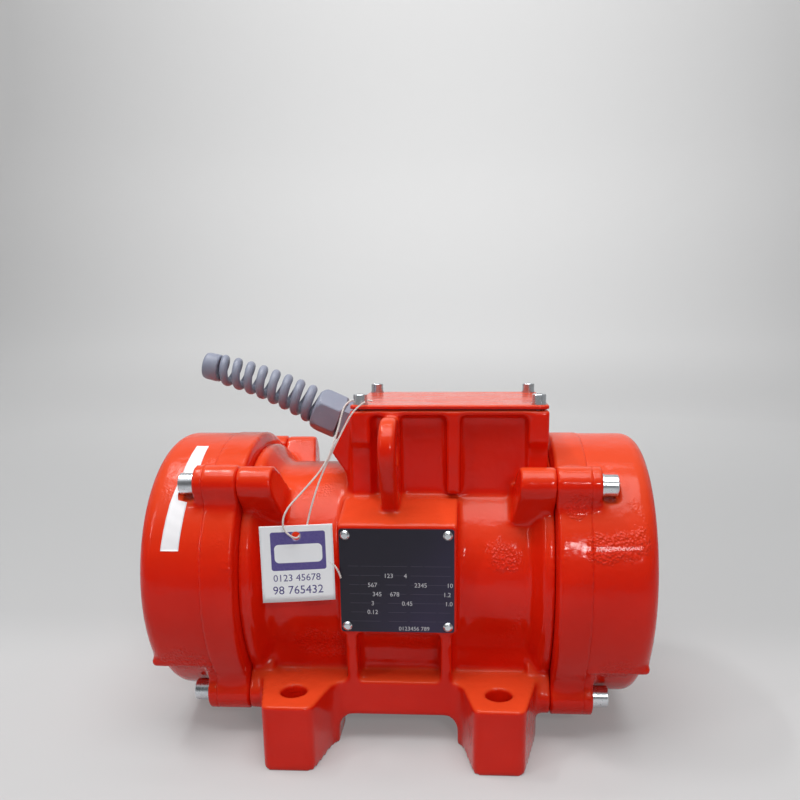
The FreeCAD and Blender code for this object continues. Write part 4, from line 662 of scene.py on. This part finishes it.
# %% Materials for the kept pieces
FINISHES = [
    (paint, ("motor_body", "foot_pads", "terminal_box", "terminal_box_end", "terminal_box_lid",
             "lifting_eye", "bearing_flange", "cover")),
    (zinc, ("bearing_cap_screws", "cover_screws", "cover_washers", "clamp_screw", "lid_screws",
            "lid_washers", "earth_screw", "nameplate_screws")),
    (steel, ("bearing_cap", "fixed_weight", "adjustable_weight", "shaft_key", "circlip", "rotor_shaft")),
    (ground, ("bearing_outer_ring", "bearing_inner_ring", "bearing_balls")),
    (brass, ("ball_cage", "terminal_studs", "terminal_nuts")),
    (sheets, ("rotor_core", "stator_core")),
    (aluminium, ("rotor_end_rings",)),
    (copper, ("stator_windings",)),
    (rubber, ("cover_seal", "lid_gasket", "gland_seal")),
    (nylon, ("gland_body", "gland_nut", "tag_string", "string_tail")),
    (bakelite, ("terminal_block", "hang_tag", "nameplate")),
]
material_of = {name: material for material, names in FINISHES for name in names}
dressed = set()
for node_name, piece in frame["nodes"].items():
    both_sides = node_name.removesuffix("_left").removesuffix("_right")
    if both_sides in material_of:
        dress(piece, material_of[both_sides])
        dressed.add(node_name)
print("still plain:", sorted(set(frame["nodes"]) - dressed))

# %% [markdown]
# ## Castings with soft edges
# An engineering model has sharp inner corners. Sand castings can't: metal and paint fill every inner
# corner with a fillet of several millimetres, while outer edges keep a radius of about one. Both come
# from the same sum.
#
# The mesh is first rebuilt as even small squares. Then every point moves towards the mean of its
# neighbours, again and again. In an inner corner that mean lies outside the metal, so the corner fills
# up. On an outer edge it lies inside, so the edge wears off. Each step is split along the surface's
# normal, and the inward part is cut down, so that fillets become wide while edges stay crisp.

# %% Softening
SOFT_STEP = 0.6
PLANE_TOLERANCE = 0.05 * MM


def merged_copy(node_name):
    """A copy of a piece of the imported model, in its place, with its loose triangles joined."""
    source = frame["nodes"][node_name]
    mesh = source.data.copy()
    mesh.transform(source.matrix_world)
    work = bmesh.new()
    work.from_mesh(mesh)
    bmesh.ops.remove_doubles(work, verts=work.verts, dist=0.002 * MM)
    work.to_mesh(mesh)
    work.free()
    made = bpy.data.objects.new(node_name + "_cast", mesh)
    scene.collection.objects.link(made)
    return made


def through_modifier(made, kind, **settings):
    """Runs a modifier on an object once and keeps the result as its mesh."""
    modifier = made.modifiers.new(kind, kind)
    for name, value in settings.items():
        setattr(modifier, name, value)
    seen = made.evaluated_get(bpy.context.evaluated_depsgraph_get())
    result = bpy.data.meshes.new_from_object(seen)
    made.modifiers.clear()
    made.data = result
    return made


def vertex_normals(points, quads):
    """Unit normal at every point: the sum of the cross products of the diagonals of the quads round it."""
    corners = points[quads.T]
    across = np.cross(corners[2] - corners[0], corners[3] - corners[1])
    total = np.stack([np.bincount(quads.ravel(), np.repeat(across[:, k], 4), len(points))
                      for k in range(3)], axis=1)
    return total / np.maximum(np.linalg.norm(total, axis=1), 1e-12)[:, None]


def soften(points, edges, quads, rounds, inward):
    """Moves points towards the mean of their neighbours. The inward part of each step is scaled down."""
    here, there = np.concatenate([edges, edges[:, ::-1]]).T
    count = np.bincount(here, minlength=len(points))[:, None]
    for _ in range(rounds):
        total = np.stack([np.bincount(here, points[there, k], len(points)) for k in range(3)], axis=1)
        step = (total / count - points) * SOFT_STEP
        normal = vertex_normals(points, quads)
        rise = (step * normal).sum(axis=1, keepdims=True)
        step += normal * np.where(rise < 0, (inward - 1) * rise, 0.0)
        points = points + step
    return points


def cast(name, node_names, voxel, rounds, inward=0.12, triangles=180000, reach=0.0, extra=()):
    """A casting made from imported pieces: joined, rebuilt in even squares of `voxel`, softened, then thinned
    to a triangle count. Points on the joint plane between ring and cover are first moved `reach` across it,
    so no gap opens. `extra` holds solids that melt into the casting."""
    pieces = [merged_copy(node_name) for node_name in node_names] + list(extra)
    made = join(name, pieces) if len(pieces) > 1 else pieces[0]
    made.name = name
    if reach:
        for vertex in made.data.vertices:
            if abs(abs(vertex.co.x) - JOINT_X) < PLANE_TOLERANCE:
                vertex.co.x -= math.copysign(reach, vertex.co.x)
    made = through_modifier(made, "REMESH", mode="VOXEL", voxel_size=voxel)
    mesh = made.data
    points = np.empty(len(mesh.vertices) * 3)
    mesh.vertices.foreach_get("co", points)
    edges = np.empty(len(mesh.edges) * 2, dtype=np.int64)
    mesh.edges.foreach_get("vertices", edges)
    quads = np.array([face.vertices[:] if len(face.vertices) == 4 else (*face.vertices, face.vertices[2])
                      for face in mesh.polygons])
    soft = soften(points.reshape(-1, 3), edges.reshape(-1, 2), quads, rounds, inward)
    mesh.vertices.foreach_set("co", soft.ravel())
    mesh.update()
    now = 2 * len(quads)
    if now > triangles:
        through_modifier(made, "DECIMATE", ratio=triangles / now)
    made.data.polygons.foreach_set("use_smooth", np.full(len(made.data.polygons), True))
    dress(made, paint)
    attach(made, "housing")
    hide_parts(*node_names)
    print(name, "was rebuilt in", len(quads), "squares and keeps", len(made.data.polygons), "faces")


# %% [markdown]
# Two small solids melt into each cover before it is rebuilt. One is the lower cup, whose edge is fuller
# than the drawn-in part of the model. The other closes the far end of each screw pocket, so that the
# pocket is just as long as the screw's head. Both are closed grids bent round the shaft's axis: one
# coordinate runs along the shaft, one out from it, and one round it.

# %% Cup and pocket fill
JOINT_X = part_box("bearing_flange_right")[1][0]

# The cup and the fills, in millimetres along the shaft and out from it, and in degrees round it.
CUP_START = 113.0
CUP_BEND = (138.5, 73.0)    # centre of the round edge: along, out
CUP_EDGE = 9.0
CUP_WALL = 4.0
CUP_END_R = 52.0
CUP_SPREAD = 55.5
FILL_RUN = (128.0, 139.5)
UPPER_FILL = (77.0, 86.4)   # out to the block's underside and to its top
LOWER_FILL = (76.0, 81.9)
FILL_SPREAD = 9
POCKET_ANGLES = (47.0, 133.0, 227.0, 313.0)


def round_shaft(name, outline, first, last, steps):
    """Closed solid: an outline of (along, out) in millimetres, swept round the shaft between two angles."""
    angle = np.radians(np.linspace(first, last, steps))[:, None]
    along, out = np.array(outline).T[:, None, :]
    up = SHAFT_Z / MM + out * np.sin(angle)
    points = np.stack([along + 0 * angle, out * np.cos(angle), up], axis=-1) * MM
    faces = grid_faces(steps, len(outline), round_columns=True).tolist()
    faces.append(list(range(len(outline))))
    faces.append([len(outline) * steps - 1 - k for k in range(len(outline))])
    return outward(add_mesh(name, points, faces))


def cup_bend(radius):
    """Quarter circle of the cup's edge, from the wall round to the flat end."""
    turn = np.radians(np.linspace(90, 0, 8))
    return [(CUP_BEND[0] + radius * math.cos(a), CUP_BEND[1] + radius * math.sin(a)) for a in turn]


def lower_cup(side):
    """Shell below the two ledges: straight wall, round edge and flat end."""
    outer = [(CUP_START, CUP_BEND[1] + CUP_EDGE), *cup_bend(CUP_EDGE), (CUP_BEND[0] + CUP_EDGE, CUP_END_R)]
    inside = CUP_EDGE - CUP_WALL
    inner = [(CUP_START, CUP_BEND[1] + inside), *cup_bend(inside), (CUP_BEND[0] + inside, CUP_END_R)]
    outline = [(side * x, out) for x, out in outer + inner[::-1]]
    return round_shaft("lower_cup", outline, -90 - CUP_SPREAD, -90 + CUP_SPREAD, 60)


def pocket_fill(side, degrees):
    """Block under the cover's surface at the far end of a screw pocket. The lower ones lie deeper."""
    low, top = UPPER_FILL if degrees < 180 else LOWER_FILL
    start, end = FILL_RUN
    outline = [(side * x, out) for x, out in ((start, low), (end, low), (end, top), (start, top))]
    return round_shaft("pocket_fill", outline, degrees - FILL_SPREAD, degrees + FILL_SPREAD, 12)


# %% [markdown]
# Six castings come out of it: the housing with its box, feet and lifting eye in one skin, a bearing
# flange and a cover for each end, and the lid.

# %% The six castings
HOUSING_NODES = ["motor_body", "foot_pads", "terminal_box", "terminal_box_end", "lifting_eye"]
cast("housing_casting", HOUSING_NODES, 1.4 * MM, 10, triangles=195000)
for end in ("left", "right"):
    cast("ring_" + end, ["bearing_flange_" + end], 1.2 * MM, 80, inward=0.02)
for side, end in ((-1, "left"), (1, "right")):
    melted = [lower_cup(side)] + [pocket_fill(side, angle) for angle in POCKET_ANGLES]
    cast("shell_" + end, ["cover_" + end], 1.1 * MM, 50, inward=0.02, reach=1.2 * MM, extra=melted)
cast("box_lid", ["terminal_box_lid"], 0.9 * MM, 3, inward=0.3)

# %% [markdown]
# ## The cable gland
# The gland's nut is a hexagon whose corners are turned away at both ends. In polar form a hexagon is
# simple: the distance to a flat, divided by the cosine of the angle away from the middle of that flat.
# The turned ends are cones, and the nut is the smaller of the two at every point.
#
# Out of the nut grows an anti-kink spiral. It sags under its own weight, so its middle line is a curve
# whose slope falls steadily along its length. The coils wind round that line, and their wire gets a
# little thinner outwards.

# %% Nut, spiral and sleeve
GLAND_TILT = math.radians(24.0)
GLAND_SEAT = np.array([-34.9, 0.0, 187.0]) * MM
GLAND_ALONG = np.array([-math.cos(GLAND_TILT), 0.0, math.sin(GLAND_TILT)])
FRONT = np.array([0.0, -1.0, 0.0])
NUT_FLATS = 25.4 * MM
NUT_LOW = 7.0 * MM
NUT_HIGH = 24.5 * MM
NUT_BORE = 6.0 * MM
NUT_SIDES = 96
SLEEVE_SIDES = 56
CORNER_TURN = math.radians(24.0)
SPIRAL_RUN = 78.0 * MM
SPIRAL_TURNS = 8.6
SPIRAL_DEPTH = 2.5 * MM
SAG = (30.0, 12.0)          # slope in degrees at the nut and at the tip
COIL_RADIUS = (9.2, 7.0)    # millimetres at the nut and at the tip, like the next
WIRE_RADIUS = (3.05, 2.55)
SLEEVE_OUTLINE = [(-8.5, 5.2), (-8.5, 8.1), (-7.7, 8.7), (-1.0, 8.5),
                  (0.6, 8.0), (1.1, 7.3), (0.6, 6.2), (-1.5, 5.6)]


def gland_nut():
    """Closed grid: along the near chamfer and the flats, over the domed far end and back up the bore."""
    angle = np.linspace(0, 2 * math.pi, NUT_SIDES, endpoint=False)
    flat = NUT_FLATS / 2 / np.cos((angle - CORNER_TURN) % (math.pi / 3) - math.pi / 6)
    corner = NUT_FLATS / math.sqrt(3)
    near = [(0.0, 0.90), (0.5, 0.95), (1.6, 1.02)]
    far = [(5.2, 1.02), (3.0, 0.955), (1.4, 0.89), (0.4, 0.82), (0.0, 0.76)]
    rows = [(NUT_LOW + run * MM, np.minimum(flat, corner * share)) for run, share in near]
    rows += [(NUT_HIGH - run * MM, np.minimum(flat, corner * share)) for run, share in far]
    bore = [(NUT_HIGH, NUT_BORE * 1.1), (NUT_HIGH - 1.0 * MM, NUT_BORE), (NUT_LOW, NUT_BORE)]
    rows += [(run, np.full(NUT_SIDES, radius)) for run, radius in bore]
    upper = np.cross(FRONT, GLAND_ALONG)
    upper *= math.copysign(1.0, upper[2])
    ring = np.cos(angle)[:, None] * FRONT + np.sin(angle)[:, None] * upper
    points = [GLAND_SEAT + GLAND_ALONG * run + radius[:, None] * ring for run, radius in rows]
    made = add_mesh("gland_cap", np.array(points), grid_faces(len(rows), NUT_SIDES, True, True),
                    smooth=False)
    made = outward(made)
    bevel = made.modifiers.new("rounded_edges", "BEVEL")
    bevel.width = 0.35 * MM
    bevel.segments = 2
    bevel.angle_limit = math.radians(25)
    bevel.harden_normals = True
    return made


def sagging_axis(count):
    """Middle line of the spiral: its slope falls steadily over the run."""
    slope = np.radians(np.linspace(*SAG, count))
    step = SPIRAL_RUN / (count - 1)
    x = np.concatenate([[0.0], np.cumsum(-np.cos(slope[:-1]) * step)])
    z = np.concatenate([[0.0], np.cumsum(np.sin(slope[:-1]) * step)])
    start = GLAND_SEAT + GLAND_ALONG * (NUT_HIGH - SPIRAL_DEPTH)
    return start + np.stack([x, np.zeros(count), z], axis=1)


def spiral():
    """A tube along a helix round the sagging line, thinner towards the tip, and tucked into the sleeve."""
    count = int(SPIRAL_TURNS * 44)
    axis = sagging_axis(count)[:int(count * 0.91)]
    count = len(axis)
    share = np.linspace(0.0, 1.0, count)
    tangent = np.gradient(axis, axis=0)
    tangent /= np.linalg.norm(tangent, axis=1)[:, None]
    upper = np.cross(FRONT, tangent)
    upper *= np.sign(upper[:, 2:])
    radius = np.linspace(*COIL_RADIUS, count)[:, None] * MM
    turn = (2 * math.pi * SPIRAL_TURNS * share + 0.6)[:, None]
    line = axis + radius * (np.cos(turn) * FRONT + np.sin(turn) * upper)
    return tube("spiral", line, np.linspace(*WIRE_RADIUS, count) * MM, sides=14)


def sleeve():
    """Short round collar at the tip: a closed ring profile swept along the end of the sagging line."""
    axis = sagging_axis(60)
    tip, before = axis[-1], axis[-6]
    along = (tip - before) / np.linalg.norm(tip - before)
    upper = np.cross(FRONT, along)
    angle = np.linspace(0, 2 * math.pi, SLEEVE_SIDES, endpoint=False)[:, None]
    ring = np.cos(angle) * FRONT + np.sin(angle) * upper
    points = [tip + along * run * MM + ring * out * MM for run, out in SLEEVE_OUTLINE]
    faces = grid_faces(len(SLEEVE_OUTLINE), SLEEVE_SIDES, True, True)
    return outward(add_mesh("spiral_sleeve", np.array(points), faces))


for piece in (gland_nut(), spiral(), sleeve()):
    dress(piece, nylon)
    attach(piece, "housing")
    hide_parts("gland_nut")
print("spiral tip at", [round(value * 1000, 1) for value in sagging_axis(60)[-1]])

# %% [markdown]
# ## Printed things
# Digits come from the built-in font. A text object is turned into a mesh at once, and its flat letters
# are then laid on the plate or the card by a small function, from millimetres on that face to a place
# in space.

# %% Number helper


def digits(text, height, left, base):
    """Flat letter shapes: their points in millimetres on a face, and their faces."""
    data = bpy.data.curves.new("digits", "FONT")
    data.body = text
    data.size = height / 0.73
    data.resolution_u = 3
    source = bpy.data.objects.new("digits", data)
    mesh = bpy.data.meshes.new_from_object(source)
    points = np.array([vertex.co[:2] for vertex in mesh.vertices]) + (left, base)
    faces = [tuple(face.vertices) for face in mesh.polygons]
    bpy.data.objects.remove(source)
    return points, faces


def lettering(name, rows, to_space):
    """One object from rows of (text, height, left, base), laid on a face."""
    all_points, all_faces = [], []
    for text, height, left, base in rows:
        points, faces = digits(text, height, left, base)
        all_faces += [tuple(k + sum(map(len, all_points)) for k in face) for face in faces]
        all_points.append(to_space(points))
    return add_mesh(name, np.concatenate(all_points), all_faces, smooth=False)


# %% [markdown]
# The rating plate is a black sheet with a violet cast. It has ruled rows with plain numbers in them.
# The rules are drawn by the material: a band that repeats down from the plate's upper edge.

# %% Rating plate
PLATE_LOW, PLATE_HIGH = (Vector(corner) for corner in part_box("nameplate"))
PLATE_MIDDLE_X = (PLATE_LOW.x + PLATE_HIGH.x) / 2
PLATE_ROW = 5.6 * MM
PLATE_NUMBERS = [
    ("123", 2.7, -7.6, -29.0), ("4", 2.7, 4.0, -29.0),
    ("567", 2.7, -17.0, -34.6), ("2345", 2.7, 10.0, -34.6), ("10", 2.7, 28.6, -34.6),
    ("345", 2.7, -14.4, -40.2), ("678", 2.7, -4.2, -40.2), ("1.2", 2.7, 26.6, -40.2),
    ("3", 2.7, -15.2, -45.8), ("0.45", 2.7, 2.6, -45.8), ("1.0", 2.7, 27.6, -45.8),
    ("0.12", 2.7, -17.6, -51.2), ("0123456 789", 2.5, 0.6, -61.2),
]


def on_plate(points):
    """From millimetres right of the plate's middle and up from its top edge, to a place just off it."""
    y = np.full(len(points), PLATE_LOW.y - 0.03 * MM)
    return np.stack([PLATE_MIDDLE_X + points[:, 0] * MM, y, PLATE_HIGH.z + points[:, 1] * MM], axis=1)


def anodised():
    """Black anodised sheet: faint brushing, faint ruled rows and a painted violet sheen towards one corner.
    """
    r = Recipe("black_anodised")
    x = r.axis(0)
    z = r.axis(2)
    brushed = r.noise(700, 3.0, where=r.stretched(0.06, 1.0, 1.0))
    # Painted sheen: the tone grows more violet towards the plate's lower right.
    haze = (r.noise(22, 3.0) * 0.7 + (x - PLATE_MIDDLE_X) * 9 - (z - PLATE_HIGH.z) * 5).step(0.25, 1.2)
    down = PLATE_HIGH.z - z
    row = r.math("FRACT", down / PLATE_ROW + 0.08)
    inside = r.math("ABSOLUTE", x - PLATE_MIDDLE_X).step(31.5 * MM, 30.5 * MM)
    ruled = down.step(20.5 * MM, 21.0 * MM) * down.step(58.6 * MM, 58.0 * MM)
    breaks = r.noise(160, 1.0, where=r.stretched(1.0, 0.0, 0.05)).step(0.40, 0.46)
    rule = row.near(0.02, 0.022) * inside * ruled * breaks
    ground_tone = r.mix(haze * 0.8, (0.014, 0.012, 0.024), (0.042, 0.030, 0.085))
    tone = r.mix(rule * 0.35, ground_tone, (0.16, 0.14, 0.20))
    return r.finish({"Base Color": tone, "Roughness": 0.30 + brushed * 0.14,
                     "Normal": r.bump(brushed, 0.02 * MM, 0.4)}, Metallic=0.25)


def print_ink(name, colour, worn):
    """Printing ink with tiny gaps."""
    r = Recipe(name)
    gaps = r.noise(2600, 2.0).step(0.55, 0.75)
    return r.finish({"Base Color": r.mix(gaps * 0.6, colour, worn), "Roughness": 0.45 + gaps * 0.2})


plate_numbers = lettering("plate_numbers", PLATE_NUMBERS, on_plate)
dress(plate_numbers, print_ink("pale_print", (0.62, 0.62, 0.66), (0.16, 0.15, 0.18)))
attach(plate_numbers, "housing")
dress(frame["nodes"]["nameplate"], anodised())
print("plate", [round(v * 1000, 1) for v in PLATE_LOW], "numbers:", len(PLATE_NUMBERS))

# %% [markdown]
# ## The hanging card
# The card is a grid between two closed outlines with the same number of points: its round hole and its
# edge. The rows between them are blends of the two. A slight bend and a small tilt keep it from looking
# like a tile.

# %% Card
CARD_MIDDLE = np.array([-55.1, -81.0, 116.8]) * MM
CARD_SIZE = (41.0, 44.0)
CARD_TILT = math.radians(-1.4)
CARD_LEAN = (0.107, 0.09)
CARD_HOLE = (0.0, 16.0, 2.4)
CARD_PAPER = 0.6
CARD_NUMBERS = [("0123 45678", 4.1, -14.0, -10.0), ("98 765432", 4.9, -14.6, -17.4)]


def card_outline(count):
    """Points of the card's edge in millimetres, met by rays from the hole at even angles."""
    angle = np.linspace(0, 2 * math.pi, count, endpoint=False) + math.pi / count
    ray = np.stack([np.cos(angle), np.sin(angle)], axis=1)
    centre = np.array(CARD_HOLE[:2])
    half = np.array(CARD_SIZE) / 2
    with np.errstate(divide="ignore"):
        reach = np.where(ray > 0, (half - centre) / ray, (-half - centre) / ray)
    edge = centre + ray * reach.min(axis=1)[:, None]
    for corner in ((1, 1), (-1, 1), (-1, -1), (1, -1)):
        place = half * corner
        nearest = np.argmin(np.linalg.norm(edge - place, axis=1))
        edge[nearest] = place
    return edge, centre + CARD_HOLE[2] * ray


def on_card(points, lift=0.0):
    """From millimetres on the card to space: a gentle bend, then the tilt and the lean."""
    x, z = points[:, 0], points[:, 1]
    half_x, half_z = CARD_SIZE[0] / 2, CARD_SIZE[1] / 2
    bend = 0.45 * (x / half_x) ** 2 - 0.25 * (z / half_z) ** 2 - 0.1
    turned_x = x * math.cos(CARD_TILT) + z * math.sin(CARD_TILT)
    turned_z = z * math.cos(CARD_TILT) - x * math.sin(CARD_TILT)
    depth = bend + CARD_LEAN[0] * turned_x + CARD_LEAN[1] * turned_z - CARD_PAPER / 2 - lift
    return CARD_MIDDLE + np.stack([turned_x, depth, turned_z], axis=1) * MM


def card_grid():
    """Rows of points from the hole to the edge. The UV map keeps each point's millimetres on the card."""
    rows, columns = 14, 120
    edge, hole = card_outline(columns)
    share = (np.linspace(0.0, 1.0, rows) ** 1.3)[:, None, None]
    flat = (hole[None] * (1 - share) + edge[None] * share).reshape(-1, 2)
    made = add_mesh("card", on_card(flat), grid_faces(rows, columns, round_columns=True))
    millimetres = made.data.uv_layers.new(name="card")
    for loop in made.data.loops:
        millimetres.data[loop.index].uv = flat[loop.vertex_index]
    paper = made.modifiers.new("paper", "SOLIDIFY")
    paper.thickness = CARD_PAPER * MM
    paper.offset = 1.0
    return made


def inside_box(r, place, low, high, corner):
    """1 inside a rounded rectangle: the distance to a smaller one, compared with the corner radius."""
    total = 0.0
    for value, start, end in zip(place, low, high):
        beyond = r.math("ABSOLUTE", value - (start + end) / 2) - ((end - start) / 2 - corner)
        beyond = r.math("MAXIMUM", beyond, 0.0)
        total = beyond * beyond + total
    return r.math("SQRT", total).step(corner + 0.12, corner - 0.12)


def printed_card():
    """White coated card with a violet block, a plain white bar in it, and a worn edge round the hole."""
    r = Recipe("printed_card")
    sheet = r.node("UVMap", uv_map="card")
    u = r.node("SeparateXYZ", {0: sheet}, output=0)
    v = r.node("SeparateXYZ", {0: sheet}, output=1)
    fibre = r.noise(900, 3.0)
    smudge = r.noise(55, 3.0).step(0.5, 0.8)
    block = inside_box(r, (u, v), (-14.6, -3.8), (16.2, 18.4), 1.4)
    panel = inside_box(r, (u, v), (-12.6, 0.6), (14.2, 11.2), 2.6)
    above_hole = v - CARD_HOLE[1]
    rim = r.math("SQRT", u * u + above_hole * above_hole).step(3.1, 2.7)
    white = r.mix(smudge * 0.4, (0.92, 0.93, 0.96), (0.80, 0.81, 0.85))
    tone = r.mix(block * (1 - panel) * (0.92 + fibre * 0.08), white, (0.072, 0.045, 0.26))
    tone = r.mix(rim * 0.35, tone, (0.62, 0.55, 0.58))
    return r.finish({"Base Color": tone, "Roughness": 0.42 + fibre * 0.12,
                     "Normal": r.bump(fibre, 0.02 * MM, 0.5)})


card = card_grid()
dress(card, printed_card())
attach(card, "housing")
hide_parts("hang_tag")
card_numbers = lettering("card_numbers", CARD_NUMBERS, lambda points: on_card(points, 0.03))
dress(card_numbers, print_ink("violet_print", (0.055, 0.035, 0.21), (0.30, 0.27, 0.42)))
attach(card_numbers, "housing")
print("card points", len(card.data.vertices))

# %% [markdown]
# Behind the card the string is tied in a small overhand knot, which is a trefoil: a line that goes
# twice round while it weaves three times in and out.

# %% Knot and cords
KNOT_PLACE = np.array([-52.6, -78.4, 131.4]) * MM
KNOT_SCALE = 0.62 * MM
KNOT_THREAD = 0.52 * MM


def knot():
    """A trefoil tube: x = sin t + 2 sin 2t, z = cos t - 2 cos 2t, y = -0.9 sin 3t, scaled to the string."""
    t = np.linspace(0, 2 * math.pi, 90)
    shape = np.stack([np.sin(t) + 2 * np.sin(2 * t), -np.sin(3 * t) * 0.9,
                      np.cos(t) - 2 * np.cos(2 * t)], axis=1)
    return tube("string_knot", KNOT_PLACE + shape * KNOT_SCALE, KNOT_THREAD)


def cotton():
    """Undyed cotton string: off-white, with darker furrows between fine fibres and a few stains."""
    r = Recipe("cotton_string")
    fibre = r.noise(5200, 3.0, where=r.stretched(1.0, 1.0, 0.35))
    stain = r.noise(120, 3.0).step(0.52, 0.75)
    tone = r.mix(fibre * 0.4 + stain * 0.35, (0.84, 0.79, 0.76), (0.58, 0.47, 0.43))
    return r.finish({"Base Color": tone, "Roughness": 0.82 + fibre * 0.1,
                     "Normal": r.bump(fibre, 0.06 * MM, 0.7)}, Sheen_Weight=0.3)


tie = knot()
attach(tie, "housing")
thread = cotton()
for piece in (string, tail, tie):
    dress(piece, thread)

# %% [markdown]
# ## The paper strip
# A bare paper strip is stuck round the left cover. It is a patch of a cylinder: its left and right
# edges are given at a few angles, and it is narrower where it passes beside the screw's pocket.

# %% Paper strip
SHELL_RADIUS = 86.5
STRIP_ANGLES = [20.5, 30.0, 40.0, 40.8, 43.0, 51.0, 53.4, 54.2, 63.0, 72.2]
STRIP_LEFT = [-134.3, -133.2, -132.0, -131.8, -131.3, -129.7, -129.4, -129.3, -128.9, -128.5]
STRIP_RIGHT = [-123.8, -122.9, -122.0, -127.6, -128.4, -128.2, -127.2, -119.9, -120.4, -120.9]


def paper_strip():
    """Grid on a cylinder about the shaft: rows at rising angles, columns from left edge to right edge."""
    angles = np.sort(np.concatenate([np.linspace(STRIP_ANGLES[0], STRIP_ANGLES[-1], 70), STRIP_ANGLES]))
    left, right = (np.interp(angles, STRIP_ANGLES, edge) for edge in (STRIP_LEFT, STRIP_RIGHT))
    share = np.linspace(0, 1, 9)[None, :]
    x = left[:, None] * (1 - share) + right[:, None] * share
    lift = SHELL_RADIUS + 0.16 + 0.05 * np.sin(angles[:, None] * 1.1 + x * 0.5)
    turn = np.radians(angles)[:, None]
    points = np.stack([x * MM, -lift * np.cos(turn) * MM, SHAFT_Z + lift * np.sin(turn) * MM], axis=-1)
    made = add_mesh("paper_strip", points, grid_faces(len(angles), 9))
    paper = made.modifiers.new("paper", "SOLIDIFY")
    paper.thickness = 0.1 * MM
    return made


def label_paper():
    """White label paper: soft fibres and a faint curl shadow."""
    r = Recipe("label_paper")
    fibre = r.noise(1100, 3.0)
    cloudy = r.noise(90, 2.0)
    tone = r.mix(cloudy * 0.5 + fibre * 0.2, (0.93, 0.92, 0.94), (0.80, 0.79, 0.82))
    return r.finish({"Base Color": tone, "Roughness": 0.36 + fibre * 0.2,
                     "Normal": r.bump(cloudy, 0.2 * MM, 0.4)})


strip = paper_strip()
dress(strip, label_paper())
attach(strip, "housing")
print("strip points", len(strip.data.vertices))
